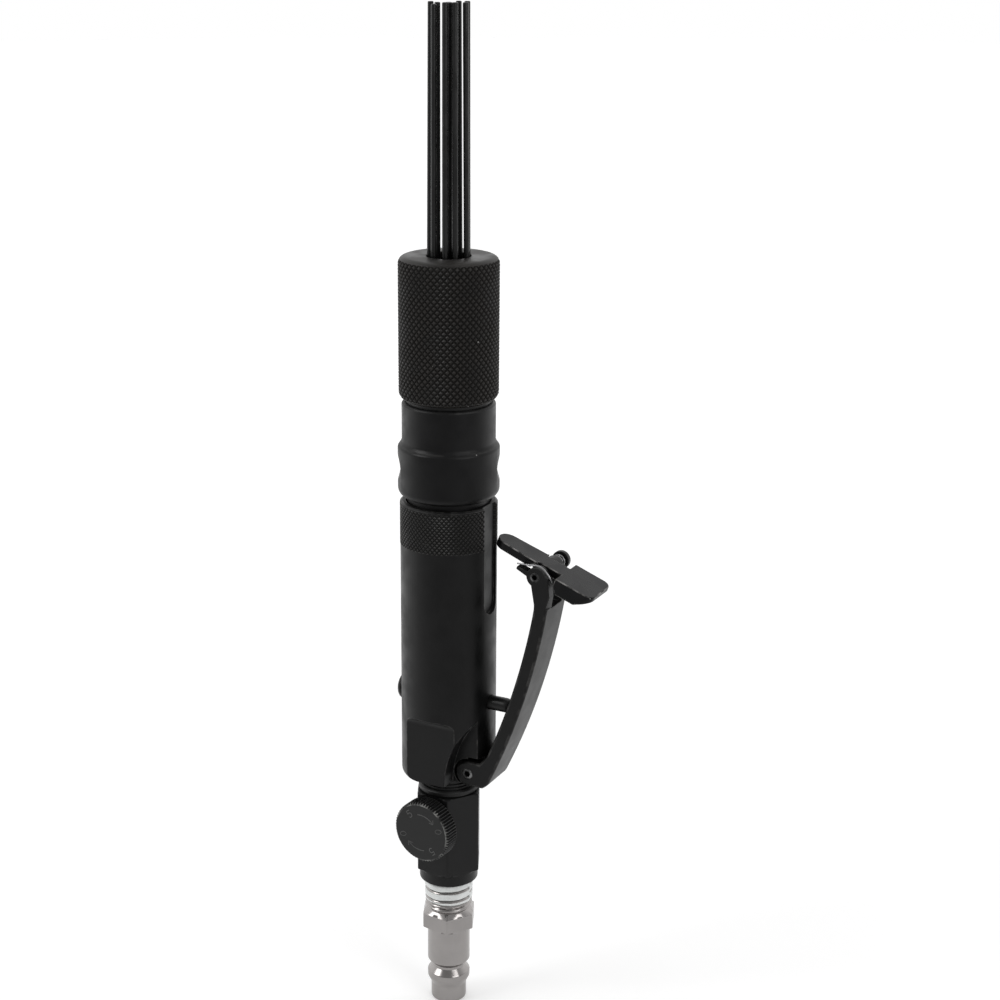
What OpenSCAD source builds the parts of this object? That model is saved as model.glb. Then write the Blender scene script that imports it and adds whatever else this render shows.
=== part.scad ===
// Pneumatic needle scaler: the tool's axis is +Z with the needles up, the lever is on +X,
// and the origin is the centre of the air plug's nose end.

/* [Air plug] */
// Diameter of the nose that enters the coupler's seal
plug_nose_d = 10; // [9:0.1:11]
// Length of the nose
plug_nose_len = 4.8; // [3:0.1:7]
// Rounding of the nose's end
plug_nose_round = 0.9; // [0.3:0.1:1.2]
// Diameter of the locking ring
plug_ring_d = 12; // [11.4:0.1:13]
// Length of the locking ring with its slopes
plug_ring_len = 5.4; // [4:0.1:7]
// Diameter of the groove behind the ring
plug_neck_d = 9.2; // [8.8:0.1:10]
// Length of the groove
plug_neck_len = 0.8; // [0.4:0.1:2]
// Diameter of the plain shank
plug_body_d = 12; // [11:0.1:13]
// Length of the plain shank
plug_body_len = 12.1; // [6:0.1:16]
// Slope at the shank's front
plug_shoulder = 1.4; // [0.5:0.1:2]
// Spanner size of the plug
plug_hex_af = 14; // [13.5:0.5:17]
// Length of the spanner part
plug_hex_len = 5.9; // [4:0.1:10]
// Turn of the plug's spanner part about the tool's axis
plug_hex_turn = -6; // [-30:1:30]
// Outer diameter of the thread
plug_thread_d = 13.16; // [12.6:0.01:13.4]
// Length of thread left outside the regulator
plug_thread_shown = 9.5; // [5:0.1:12]
// Length of thread inside the regulator
plug_thread_depth = 6.5; // [5:0.1:9]
// Diameter of the air passage
plug_bore_d = 7.2; // [5:0.1:7.6]
// Length of the thread sealant
sealant_len = 6; // [2:0.1:9]
// Thickness of the thread sealant over the thread
sealant_t = 0.2; // [0.1:0.05:0.4]
// Thickness of the inlet screen
screen_t = 0.8; // [0.4:0.1:1.5]

/* [Regulator] */
// Distance across the flats
reg_af = 17; // [15.5:0.1:20]
// Length of the six-sided part
reg_hex_len = 24.2; // [24:0.1:32]
// Diameter of the turned foot
reg_foot_d = 16.4; // [15.4:0.1:16.8]
// Length of the turned foot
reg_foot_len = 3.3; // [2:0.1:5]
// Turn of the regulator about the tool's axis
reg_turn = -4.5; // [-30:0.5:30]
// Diameter of the spigot that screws into the body
spigot_d = 9; // [8:0.1:9.4]
// Length of the spigot above the six-sided part
spigot_len = 12; // [8:0.1:14]
// Diameter of the passages in the regulator
reg_passage_d = 5; // [4:0.1:6]
// Diameter of the knob
knob_d = 17.4; // [12:0.1:18]
// Length of the knob
knob_len = 5.6; // [4.5:0.1:9]
// Height of the knob's axis above the bottom of the six-sided part
knob_rise = 15.7; // [14:0.1:16]
// Gap between the knob and the regulator's flat
knob_gap = 0.3; // [0.3:0.1:1]
// Bevel at the knob's face
knob_bevel = 0.7; // [0.3:0.1:1]
// Diameter of the rotary stem
stem_d = 8; // [7:0.1:8.6]
// Reach of the stem past the tool's axis
stem_reach = 5.4; // [4:0.1:6]
// Diameter of the stem's end inside the knob
stem_tang_d = 6; // [4:0.1:6.6]
// Length of the stem's end inside the knob
stem_tang_len = 3.4; // [2:0.1:4]
// Thickness of the wire of the stem's o-ring
stem_oring_w = 1; // [0.8:0.1:1.2]
// Thickness of the stem's clip
stem_clip_t = 0.7; // [0.5:0.1:0.9]
// Thickness of the sealing ring under the body
ring_t = 4.6; // [3:0.1:6]
// Diameter of the sealing ring under the body
ring_d = 16; // [14:0.1:18]

/* [Body] */
// Diameter of the body
body_d = 26; // [25.2:0.1:28]
// Length of the body
body_len = 79.3; // [76:0.1:90]
// Rounding of the body's bottom edge
body_round = 2; // [0.5:0.1:2.4]
// Bevel of the body's top edge
body_bevel = 0.5; // [0.2:0.1:0.6]
// Spanner size across the body's two flats
flat_af = 21.5; // [19:0.1:22]
// Height of the flats
flat_len = 19.6; // [16:0.2:22]
// Radius of the fillet at the flats' top
flat_round = 2.4; // [1.2:0.1:3.6]
// Width of the latch's slot
slot_w = 6.8; // [6:0.1:7.4]
// Depth of the latch's slot
slot_depth = 1.2; // [1:0.05:1.6]
// Length of the latch's slot
slot_len = 30.5; // [24:0.1:34]
// Radius of the milled scoop beside the lever
scoop_r = 28; // [24:0.5:32]
// Depth of the scoop's floor below the body's flats
scoop_depth = 5.15; // [4:0.05:6]
// Distance from the tool's axis to the scoop's deepest edge
scoop_edge = 4.2; // [3.6:0.1:6]
// Diameter of the cylinder's bore in the body
main_bore_d = 18.8; // [17:0.1:19]
// Diameter of the front thread
front_thread_d = 20.5; // [20:0.1:21]
// Diameter of the recess at the body's top
recess_d = 22.8; // [21.4:0.1:23]
// Depth of the recess at the body's top
recess_depth = 2.9; // [1.5:0.1:4]
// Length of the front thread
front_thread_len = 7; // [5:0.1:9]

/* [Throttle valve] */
// Height of the valve's axis above the body's bottom
valve_rise = 23.2; // [22:0.1:26]
// Diameter of the valve's chamber and cap
cap_d = 7.9; // [7:0.1:8.4]
// Height of the cap's dome above the body
cap_proud = 1.6; // [0.8:0.1:2.5]
// Length of the cap inside the body
cap_depth = 6; // [4:0.1:6.4]
// Thickness of the wire of the cap's o-ring
cap_oring_w = 1; // [0.7:0.1:1.2]
// Diameter of the push pin
pin_d = 4; // [3:0.1:4.4]
// Diameter of the push pin's waist in the air path
pin_waist_d = 2.6; // [2:0.1:3]
// Diameter of the hole in the valve's seat
seat_d = 5.4; // [4.8:0.1:6]
// Distance from the tool's axis to the seat
seat_x = 2; // [1:0.1:2.6]
// Length of the seat's hole
seat_len = 4.4; // [4:0.1:5]
// Diameter of the poppet
poppet_d = 6.8; // [6.2:0.1:6.8]
// Thickness of the poppet
poppet_t = 3.2; // [2:0.1:3.4]
// Thickness of the wire of the pin's o-ring
pin_oring_w = 1; // [0.8:0.1:1.2]
// Thickness of the valve spring's wire
valve_wire = 0.6; // [0.4:0.05:0.7]
// Turns of the valve spring
valve_turns = 4; // [3:1:5]
// Diameter of the air passages in the body
passage_d = 3.6; // [2.6:0.1:4]

/* [Lever] */
// Width of the lever
lever_w = 12; // [11:0.1:12.6]
// Gap in the lever's forks
fork_w = 6.2; // [5.8:0.1:6.6]
// Depth of the lever's arm
arm_depth = 3.9; // [3:0.1:4.2]
// Depth of the lever's pivot below the body's side
pivot_in = 4.15; // [3.6:0.05:4.4]
// Height of the lever's pivot above the body's bottom
pivot_rise = 3.3; // [3:0.1:4]
// Radius of the lever's boss
boss_r = 3.6; // [3.2:0.1:4.1]
// Diameter of the lever's pin
lever_pin_d = 3; // [2:0.1:3.2]
// Outward distance from the pivot to the foot of the arm
arm_foot_out = 8.15; // [7.6:0.05:8.6]
// Height from the pivot to the foot of the arm
arm_foot_up = 2; // [1.4:0.1:2.6]
// Outward distance from the pivot to the tip of the arm
arm_tip_out = 23.85; // [22.8:0.05:24.8]
// Height from the pivot to the tip of the arm
arm_tip_up = 55.2; // [54:0.1:56]
// Outward bow of the arm
arm_bow = 1.9; // [0.8:0.1:2.6]
// Radius of the ears at the lever's tip
ear_r = 2.7; // [2.4:0.05:3]
// Distance from the latch's pin to the outer side of the ears
ear_out = 3.8; // [3.4:0.1:4]
// Length of the beak on each ear
beak_len = 5.6; // [4:0.1:6]
// Depth of the fork at the lever's tip below the latch's pin
fork_depth = 8.7; // [5.5:0.1:9]

/* [Safety latch] */
// Inward distance from the arm's tip to the latch's pin
latch_in = 4.3; // [4:0.05:4.6]
// Height of the latch's pin above the arm's tip
latch_up = 5; // [4.6:0.1:5.4]
// Tilt of the latch below level
latch_tilt = 21; // [19:0.5:23]
// Diameter of the latch's pin
latch_pin_d = 2.6; // [2:0.1:2.8]
// Diameter of the head of the latch's pin
latch_head_d = 5; // [4.6:0.1:7]
// Thickness of the head of the latch's pin
latch_head_t = 1.4; // [0.8:0.1:2]
// Distance from the pin to the nose's end
nose_len = 15; // [14.4:0.1:15.6]
// Width of the nose at its end
nose_w = 6.4; // [5.8:0.1:6.6]
// Width of the nose at its root
nose_root_w = 7.3; // [6.6:0.1:8]
// Thickness of the nose
nose_t = 2.3; // [1.8:0.1:2.4]
// Distance from the pin to the tail's end
tail_len = 16.6; // [14:0.1:19]
// Width of the tail
tail_w = 13; // [11:0.1:14]
// Thickness of the tail
tail_t = 4.2; // [3:0.1:4.4]
// Rounding of the tail's corners in plan
tail_round = 2.4; // [1:0.1:4]
// Distance from the pin to the tail's shoulder
shoulder = 5.5; // [5.2:0.1:6.5]
// Width of the waist between the ears
waist_w = 5.4; // [4:0.1:5.4]
// Height of the latch's top above its pin
latch_top = 3.06; // [2.9:0.02:3.4]
// Thickness of the latch spring's wire
latch_wire = 0.6; // [0.5:0.05:0.7]
// Turns of the latch spring's coil
latch_turns = 3; // [1:1:4]
// Gap between the turns of the latch spring's coil
latch_turn_gap = 0.5; // [0.45:0.05:0.8]

/* [Cylinder] */
// Thickness of the plate behind the cylinder
plate_t = 5; // [3:0.1:6]
// Gap in the body between the valve's chamber and the plate
plate_wall = 4.2; // [3:0.1:6]
// Diameter of the piston
piston_d = 13; // [11:0.1:14]
// Length of the piston
piston_len = 20; // [14:0.1:24]
// Depth of the piston's grooves
piston_groove = 0.5; // [0.2:0.1:1]
// Width of the piston's grooves
piston_groove_w = 1.2; // [0.6:0.1:2]
// Diameter of the ports
port_d = 2; // [1:0.1:2.6]

/* [Front collar] */
// Gap between the body and the collar
collar_gap = 1.4; // [0.4:0.1:2]
// Length of the collar
collar_len = 25.7; // [24:0.1:34]
// Diameter of the collar's plain part
collar_d = 24.9; // [23.6:0.1:26]
// Diameter of the collar's band
band_d = 27.1; // [26.2:0.1:29]
// Height of the band's top above the collar's bottom
band_len = 15.3; // [12:0.1:18]
// Rounding of the collar's bottom edge
collar_round = 2.3; // [1:0.1:2.6]
// Radius of the scalloped spanner grips
scallop_r = 9; // [7:0.5:14]
// Depth of the scalloped spanner grips
scallop_depth = 0.8; // [0.4:0.1:1.2]
// Turn of the spanner grips about the tool's axis
scallop_turn = 28; // [0:1:60]
// Length of the spigot inside the sleeve
collar_spigot_len = 10; // [8:0.1:14]
// Diameter of the guide bore for the needle holder
guide_d = 17.2; // [16.6:0.1:17.8]
// Height of the anvil's seat above the collar's bottom
anvil_rise = 7.3; // [6:0.1:10]
// Diameter of the anvil's stem
anvil_stem_d = 8; // [6:0.1:10]
// Thickness of the anvil's head
anvil_head_t = 5.5; // [3:0.1:6]

/* [Front sleeve and needles] */
// Thickness of the seal between collar and sleeve
sleeve_seal_t = 0.7; // [0.4:0.1:1.5]
// Diameter of the sleeve
sleeve_d = 26.4; // [24.6:0.1:29]
// Length of the sleeve
sleeve_len = 37.7; // [36:0.1:48]
// Rounding of the sleeve's top edge
sleeve_round = 2; // [0.6:0.1:3]
// Rounding of the sleeve's bottom edge
sleeve_foot_round = 2.1; // [0.5:0.1:2.6]
// Diameter of the hole for the needles
sleeve_hole_d = 11.7; // [11:0.1:13]
// Thickness of the sleeve's front wall
sleeve_wall = 6; // [4:0.1:8]
// Diameter of a needle
needle_d = 1.5; // [1.2:0.05:1.7]
// Length of needle in front of the sleeve
needle_reach = 62.6; // [30:0.5:80]
// Radius of the outer ring of needles
needle_ring_r = 4.45; // [4.2:0.05:4.6]
// Radius of the inner ring of needles
needle_core_r = 1.75; // [1.7:0.05:1.9]
// Needles in the outer ring
needle_ring_n = 9; // [6:1:9]
// Needles in the inner ring
needle_core_n = 3; // [2:1:3]
// Diameter of a needle's head
needle_head_d = 2.5; // [2:0.1:2.6]
// Height of a needle's head
needle_head_t = 1.5; // [0.8:0.1:2]
// Thickness of the needle holder
holder_t = 11.8; // [8:0.1:13]
// Thickness of the needle spring's wire
needle_wire = 1.3; // [0.8:0.1:1.4]
// Turns of the needle spring
needle_turns = 8; // [5:1:9]

/* [Clearances] */
// Radial clearance of a running fit
slip = 0.05; // [0.02:0.01:0.1]
// Radial clearance of a fixed fit
snug = 0.01; // [0.005:0.005:0.02]
// Gap between pieces that move past each other
free = 0.3; // [0.2:0.05:0.4]

/* [Hidden] */
$fn = 64;

// Overrun of every cut past the face it leaves
over = 1;
// Steps in a short rounded edge, and in the long bow of the lever's arm
edge_steps = 6;
bow_steps = 16;
// Sides of a spring's wire, and rings in one turn
wire_sides = 6;
turn_rings = 8;

// Heights of the plug, from the nose end
plug_ring_z = plug_nose_len;
plug_neck_z = plug_ring_z + plug_ring_len;
plug_body_z = plug_neck_z + plug_neck_len;
plug_hex_z = plug_body_z + plug_body_len;
plug_thread_z = plug_hex_z + plug_hex_len;
reg_z = plug_thread_z + plug_thread_shown;
plug_top_z = reg_z + plug_thread_depth;
screen_top_z = plug_top_z + screen_t;
// Shares of the ring's length where its slopes meet its crest,
// and of a spanner part's length that is bevelled
ring_crest_shares = [0.4, 0.75];
hex_bevel_share = 0.16;

// Heights of the regulator
reg_hex_z = reg_z + reg_foot_len;
reg_top_z = reg_hex_z + reg_hex_len;
knob_z = reg_hex_z + knob_rise;
spigot_top_z = reg_top_z + spigot_len;
knob_y = reg_af / 2 + knob_gap;
stem_bore_r = stem_d / 2 + slip;
// Places along the stem, as shares of the distance from the tool's axis to the regulator's flat
clip_share = 0.78;
oring_share = 0.55;

// Heights of the body and of what it holds
body_r = body_d / 2;
pivot_x = body_r - pivot_in;
body_z = reg_top_z + ring_t;
body_top_z = body_z + body_len;
valve_z = body_z + valve_rise;
plate_z = valve_z + cap_d / 2 + plate_wall;
liner_z = plate_z + plate_t;
thread_z = body_top_z - recess_depth - front_thread_len;
piston_z = liner_z + free;
flat_y = flat_af / 2;
scoop_y = flat_y - scoop_depth;
lever_y = lever_w / 2;
tongue_w = fork_w - 2 * free;
pivot_z = body_z + pivot_rise;

// Heights of the front end
collar_z = body_top_z + collar_gap;
collar_top_z = collar_z + collar_len;
anvil_seat_z = collar_z + anvil_rise;
anvil_z = anvil_seat_z + free;
anvil_top_z = anvil_z + anvil_head_t;
anvil_foot_z = thread_z + front_thread_len / 2;
head_z = anvil_top_z + free;
holder_z = head_z + needle_head_t + slip;
holder_top_z = holder_z + holder_t;
sleeve_z = collar_top_z + sleeve_seal_t;
sleeve_top_z = sleeve_z + sleeve_len;
sleeve_roof_z = sleeve_top_z - sleeve_wall;
tip_z = sleeve_top_z + needle_reach;
needle_spring_r = (guide_d / 2 + needle_ring_r + needle_d / 2) / 2;

// The lever's bowed arm, as an arc through its foot and its tip
arm_foot = [pivot_x + arm_foot_out, pivot_z + arm_foot_up];
arm_tip = [pivot_x + arm_tip_out, pivot_z + arm_tip_up];
arm_span = arm_tip - arm_foot;
arm_chord = norm(arm_span);
arm_normal = [arm_span.y, -arm_span.x] / arm_chord;
arm_r = arm_chord * arm_chord / (8 * arm_bow) + arm_bow / 2;
arm_centre = (arm_foot + arm_tip) / 2 - (arm_r - arm_bow) * arm_normal;
arm_from = atan2(arm_foot.y - arm_centre.y, arm_foot.x - arm_centre.x);
arm_to = atan2(arm_tip.y - arm_centre.y, arm_tip.x - arm_centre.x);
// Top of the fork that straddles the body
fork_top_z = arm_foot.y + arm_depth;
// Where the arm's inner face stands at the valve's height
arm_inner_r = arm_r - arm_depth;
arm_at_valve = arm_centre.x + sqrt(pow(arm_inner_r, 2) - pow(valve_z - arm_centre.y, 2));

// The latch's pin, and the centre of the ears that hold it
latch_x = arm_tip.x - latch_in;
latch_z = arm_tip.y + latch_up;
ear_shift_share = 0.12;
ear_x = latch_x + ear_shift_share * ear_r;
ear_z = latch_z;
hub_r = latch_pin_d / 2 + latch_wire * 2;
latch_head_y = lever_y + 2 * slip + latch_turns * (latch_wire + latch_turn_gap) + latch_wire;

// Points of an arc about c with radius r, from angle a to angle b
function arc(c, r, a, b, n) = [for (i = [0:n]) c + r * [cos(a + (b - a) * i / n), sin(a + (b - a) * i / n)]];
// The points of a list in reverse
function turned(list) = [for (i = [len(list) - 1:-1:0]) list[i]];
// A point of the latch's own section: along the latch from its pin, and up from its pin
function on_latch(along, up) =
    [
        latch_x + along * cos(latch_tilt) + up * sin(latch_tilt),
        latch_z - along * sin(latch_tilt) + up * cos(latch_tilt)
    ];
// The direction of travel along a path at its point i
function heading(path, i) =
    let (d = path[min(i + 1, len(path) - 1)] - path[max(i - 1, 0)]) d / norm(d);
// One ring of a wire's skin around point i of its path
function wire_ring(path, i, r, up) =
    let (t = heading(path, i), s = cross(t, up), a = s / norm(s), b = cross(a, t))
    [for (k = [0:wire_sides - 1]) let (turn = 360 * k / wire_sides)
        path[i] + r * (a * cos(turn) + b * sin(turn))];
// The points of a coil about the z axis
function coil(r, turns, pitch, from) =
    [for (i = [0:turns * turn_rings]) let (t = i / turn_rings)
        [r * cos(from + 360 * t), r * sin(from + 360 * t), pitch * t]];
// The least gap between a wire and itself, leaving out neighbours along the wire
function self_gap(path, d, skip) =
    min([for (i = [0:len(path) - 1]) for (j = [i + skip:len(path) - 1])
        if (j > i) norm(path[i] - path[j])]) - d;

// A cylinder between two heights
module rod(r, from, to) {
    translate([0, 0, from])
        cylinder(r = r, h = to - from);
}

// A solid of revolution with a rounded or bevelled section
module turned_part(points) {
    rotate_extrude()
        polygon(points);
}

// A six-sided bar with bevelled corners
module hex_bar(af, from, to) {
    bevel = hex_bevel_share * (to - from);
    corner_r = af / sqrt(3);
    intersection() {
        translate([0, 0, from])
            cylinder(r = corner_r, h = to - from, $fn = 6);
        turned_part([
            [0, from], [af / 2, from], [corner_r, from + bevel], [corner_r, to - bevel], [af / 2, to], [0, to]
        ]);
    }
}

// A ring with a round section about the z axis
module o_ring(mean_r, wire, z) {
    translate([0, 0, z])
        rotate_extrude()
            translate([mean_r, 0])
                circle(d = wire, $fn = 24);
}

// Stands a shape made along z on the tool's cross axis, pointing to +X at the valve's height
module on_valve_axis() {
    translate([0, 0, valve_z])
        rotate([0, 90, 0])
            children();
}

// Stands a shape made along z on the knob's axis, pointing out of the regulator
module on_knob_axis() {
    rotate([0, 0, reg_turn])
        translate([0, 0, knob_z])
            rotate([90, 0, 0])
                children();
}

// Extrudes a section drawn in X and Z across the tool, from one side to the other
module across(from, to) {
    translate([0, to, 0])
        rotate([90, 0, 0])
            linear_extrude(to - from)
                children();
}

// A pin across the tool at a point of its section
module cross_pin(x, z, r, from, to) {
    translate([x, to, z])
        rotate([90, 0, 0])
            cylinder(r = r, h = to - from);
}

// A wire along a path, closed at both ends
module wire(path, d, up) {
    n = len(path);
    rings = [for (i = [0:n - 1]) each wire_ring(path, i, d / 2, up)];
    sides = [for (i = [0:n - 2]) for (k = [0:wire_sides - 1])
        let (m = (k + 1) % wire_sides, p = i * wire_sides)
        each [[p + k, p + m, p + wire_sides + k], [p + m, p + wire_sides + m, p + wire_sides + k]]];
    caps = [for (k = [1:wire_sides - 2]) let (p = (n - 1) * wire_sides)
        each [[0, k + 1, k], [p, p + k, p + k + 1]]];
    polyhedron(points = rings, faces = concat(sides, caps), convexity = 10);
}

module air_plug() {
    nose_r = plug_nose_d / 2;
    ring_r = plug_ring_d / 2;
    shank_r = plug_body_d / 2;
    profile = concat(
        [[0, 0]],
        arc([nose_r - plug_nose_round, plug_nose_round], plug_nose_round, -90, 0, edge_steps),
        [
            [nose_r, plug_ring_z],
            [ring_r, plug_ring_z + ring_crest_shares[0] * plug_ring_len],
            [ring_r, plug_ring_z + ring_crest_shares[1] * plug_ring_len],
            [plug_neck_d / 2, plug_neck_z],
            [plug_neck_d / 2, plug_body_z],
            [shank_r, plug_body_z + plug_shoulder],
            [shank_r, plug_hex_z + plug_hex_len / 2],
            [0, plug_hex_z + plug_hex_len / 2]
        ]
    );
    color([0.66, 0.64, 0.62])
        difference() {
            union() {
                turned_part(profile);
                rotate([0, 0, plug_hex_turn])
                    hex_bar(plug_hex_af, plug_hex_z, plug_thread_z);
                rod(plug_thread_d / 2, plug_thread_z - plug_hex_len / 2, plug_top_z);
            }
            rod(plug_bore_d / 2, -over, plug_top_z + over);
        }
}

module thread_sealant() {
    color([0.9, 0.92, 0.91])
        difference() {
            rod(plug_thread_d / 2 + sealant_t, reg_z - sealant_len, reg_z);
            rod(plug_thread_d / 2, reg_z - sealant_len - over, reg_z + over);
        }
}

module inlet_screen() {
    hole_share = 0.11;
    circle_share = 0.3;
    hole_n = 6;
    color([0.75, 0.7, 0.5])
        difference() {
            rod(plug_thread_d / 2, plug_top_z, screen_top_z);
            for (i = [0:hole_n - 1])
                rotate([0, 0, 360 * i / hole_n])
                    translate([circle_share * plug_thread_d / 2, 0, 0])
                        rod(hole_share * plug_thread_d / 2, plug_top_z - over, screen_top_z + over);
        }
}

module regulator_body() {
    color([0.13, 0.13, 0.13])
        difference() {
            union() {
                rod(reg_foot_d / 2, reg_z, reg_hex_z + reg_foot_len);
                rotate([0, 0, reg_turn])
                    hex_bar(reg_af, reg_hex_z, reg_top_z);
                rod(spigot_d / 2, reg_top_z - reg_foot_len, spigot_top_z);
            }
            rod(plug_thread_d / 2 + snug, reg_z - over, screen_top_z);
            rod(reg_passage_d / 2, screen_top_z - over, spigot_top_z + over);
            on_knob_axis() {
                rod(stem_bore_r, -stem_reach - free, reg_af / 2 + over);
                rod(
                    stem_bore_r + stem_clip_t,
                    clip_share * reg_af / 2 - stem_clip_t / 2 - snug,
                    clip_share * reg_af / 2 + stem_clip_t / 2 + snug
                );
            }
        }
}

module regulator_knob() {
    face = knob_y + knob_len;
    color([0.14, 0.14, 0.14])
        on_knob_axis()
            difference() {
                turned_part([
                    [0, knob_y], [knob_d / 2 - knob_bevel, knob_y], [knob_d / 2, knob_y + knob_bevel],
                    [knob_d / 2, face - knob_bevel], [knob_d / 2 - knob_bevel, face], [0, face]
                ]);
                rod(stem_tang_d / 2 + snug, knob_y - over, knob_y + stem_tang_len);
            }
}

module regulator_stem() {
    oring_y = oring_share * reg_af / 2;
    clip_y = clip_share * reg_af / 2;
    groove_half = stem_oring_w / 2 + snug;
    clip_half = stem_clip_t / 2 + free;
    color([0.7, 0.6, 0.35])
        difference() {
            on_knob_axis()
                difference() {
                    union() {
                        rod(stem_d / 2, -stem_reach, knob_y);
                        rod(stem_tang_d / 2, knob_y, knob_y + stem_tang_len);
                    }
                    difference() {
                        rod(stem_d / 2 + over, oring_y - groove_half, oring_y + groove_half);
                        rod(stem_d / 2 - stem_oring_w, oring_y - over, oring_y + over);
                    }
                    difference() {
                        rod(stem_d / 2 + over, clip_y - clip_half, clip_y + clip_half);
                        rod(stem_d / 2 - stem_clip_t - free, clip_y - over, clip_y + over);
                    }
                }
            rod(reg_passage_d / 2, knob_z - stem_d, knob_z + stem_d);
        }
}

module stem_oring() {
    color([0.08, 0.08, 0.08])
        on_knob_axis()
            o_ring(stem_d / 2 - stem_oring_w / 2 + snug, stem_oring_w, oring_share * reg_af / 2);
}

module stem_clip() {
    clip_y = clip_share * reg_af / 2;
    color([0.6, 0.6, 0.6])
        on_knob_axis()
            difference() {
                rod(stem_bore_r + stem_clip_t - snug, clip_y - stem_clip_t / 2, clip_y + stem_clip_t / 2);
                rod(stem_d / 2 - stem_clip_t, clip_y - over, clip_y + over);
            }
}

module seal_ring() {
    outer_r = ring_d / 2;
    hole_r = spigot_d / 2 + snug;
    bulge = ring_t / 2;
    color([0.1, 0.1, 0.1])
        turned_part(concat(
            [[hole_r, reg_top_z]],
            arc([outer_r - bulge, reg_top_z + bulge], bulge, -90, 90, 2 * edge_steps),
            [[hole_r, body_z]]
        ));
}

// The body's outside before anything is cut from it
module body_blank() {
    turned_part(concat(
        [[0, body_z]],
        arc([body_r - body_round, body_z + body_round], body_round, -90, 0, edge_steps),
        [[body_r, body_top_z - body_bevel], [body_r - body_bevel, body_top_z], [0, body_top_z]]
    ));
}

// The cut for one spanner flat, whose top runs out to the body's side in a fillet
module spanner_flat(far) {
    top_z = body_z + flat_len;
    translate([-body_r - over, 0, 0])
        rotate([90, 0, 90])
            linear_extrude(body_d + 2 * over)
                polygon(concat(
                    [[flat_y, body_z - over], [far, body_z - over], [far, top_z]],
                    arc([flat_y + flat_round, top_z - flat_round], flat_round, 90, 180, edge_steps)
                ));
}

// The two spanner flats, the scoops beside the lever and the pockets for the lever's forks
module body_side_cuts() {
    far = body_d;
    for (side = [0, 1])
        mirror([0, side, 0]) {
            spanner_flat(far);
            cross_pin(scoop_edge + scoop_r, body_z, scoop_r, scoop_y, far);
            cross_pin(pivot_x, pivot_z, boss_r + 2 * free, tongue_w / 2, scoop_y + over);
            translate([pivot_x, tongue_w / 2, body_z - over])
                cube([far, scoop_y - tongue_w / 2 + over, pivot_z + boss_r + 4 * free - body_z + over]);
        }
}

// The slot for the latch's nose, open at the body's top
module body_slot() {
    end_z = body_top_z - slot_len + slot_w / 2;
    translate([body_r - slot_depth, -slot_w / 2, end_z])
        cube([body_r, slot_w, slot_len]);
    translate([body_r - slot_depth, 0, end_z])
        rotate([0, 90, 0])
            cylinder(d = slot_w, h = body_r);
}

module main_body() {
    seat_end = seat_x + seat_len;
    oring_x = (seat_end + body_r) / 2;
    color([0.14, 0.14, 0.14])
        difference() {
            body_blank();
            body_side_cuts();
            body_slot();
            rod(spigot_d / 2 + snug, body_z - over, spigot_top_z + free);
            translate([-passage_d / 2, 0, 0])
                rod(passage_d / 2, spigot_top_z - over, valve_z);
            translate([seat_x + seat_len / 2, 0, 0])
                rod(passage_d / 2, valve_z, plate_z + over);
            on_valve_axis() {
                rod(cap_d / 2 + snug, -body_r - over, seat_x);
                rod(seat_d / 2, seat_x - over, seat_end);
                rod(pin_d / 2 + slip, seat_end - over, body_r + over);
                rod(pin_d / 2 + slip + pin_oring_w,
                    oring_x - pin_oring_w / 2 - snug, oring_x + pin_oring_w / 2 + snug);
            }
            rod(main_bore_d / 2 + snug, plate_z, thread_z + over);
            rod(front_thread_d / 2 + snug, thread_z, body_top_z);
            rod(recess_d / 2, body_top_z - recess_depth, body_top_z + over);
            cross_pin(pivot_x, pivot_z, lever_pin_d / 2 + snug, -body_r, body_r);
        }
}

module valve_cap() {
    cap_r = cap_d / 2;
    groove_x = body_r - cap_depth / 2;
    crown = body_r + cap_proud;
    crown_share = 0.45;
    color([0.12, 0.12, 0.12])
        on_valve_axis()
            mirror([0, 0, 1])
                difference() {
                    turned_part(concat(
                        [[0, body_r - cap_depth], [cap_r, body_r - cap_depth]],
                        arc([cap_r - cap_proud, body_r], cap_proud, 0, 60, edge_steps),
                        [[crown_share * cap_r, crown], [0, crown]]
                    ));
                    difference() {
                        rod(cap_r + over,
                            groove_x - cap_oring_w / 2 - snug, groove_x + cap_oring_w / 2 + snug);
                        rod(cap_r - cap_oring_w, groove_x - over, groove_x + over);
                    }
                }
}

module valve_cap_oring() {
    color([0.08, 0.08, 0.08])
        on_valve_axis()
            o_ring(cap_d / 2 - cap_oring_w / 2, cap_oring_w, -body_r + cap_depth / 2);
}

module valve_spring() {
    from = -body_r + cap_depth;
    to = seat_x - snug - poppet_t;
    length = to - from - valve_wire - 2 * snug;
    path = coil((poppet_d - valve_wire) / 2 - free, valve_turns, length / valve_turns, 0);
    color([0.75, 0.75, 0.75])
        on_valve_axis()
            translate([0, 0, from + valve_wire / 2 + snug])
                wire(path, valve_wire, [0, 0, 1]);
}

module valve_poppet() {
    face = seat_x - snug;
    stud_share = 0.5;
    color([0.2, 0.2, 0.22])
        on_valve_axis() {
            rod(poppet_d / 2, face - poppet_t, face);
            rod(stud_share * poppet_d / 2, face - poppet_t - valve_wire, face - poppet_t);
        }
}

module valve_pin() {
    face = seat_x - snug;
    seat_end = seat_x + seat_len;
    tip = arm_at_valve - free;
    color([0.45, 0.45, 0.46])
        on_valve_axis() {
            rod(pin_waist_d / 2, face, seat_end);
            turned_part(concat(
                [[0, seat_end], [pin_d / 2, seat_end]],
                arc([0, tip - pin_d / 2], pin_d / 2, 0, 90, edge_steps)
            ));
        }
}

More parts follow.
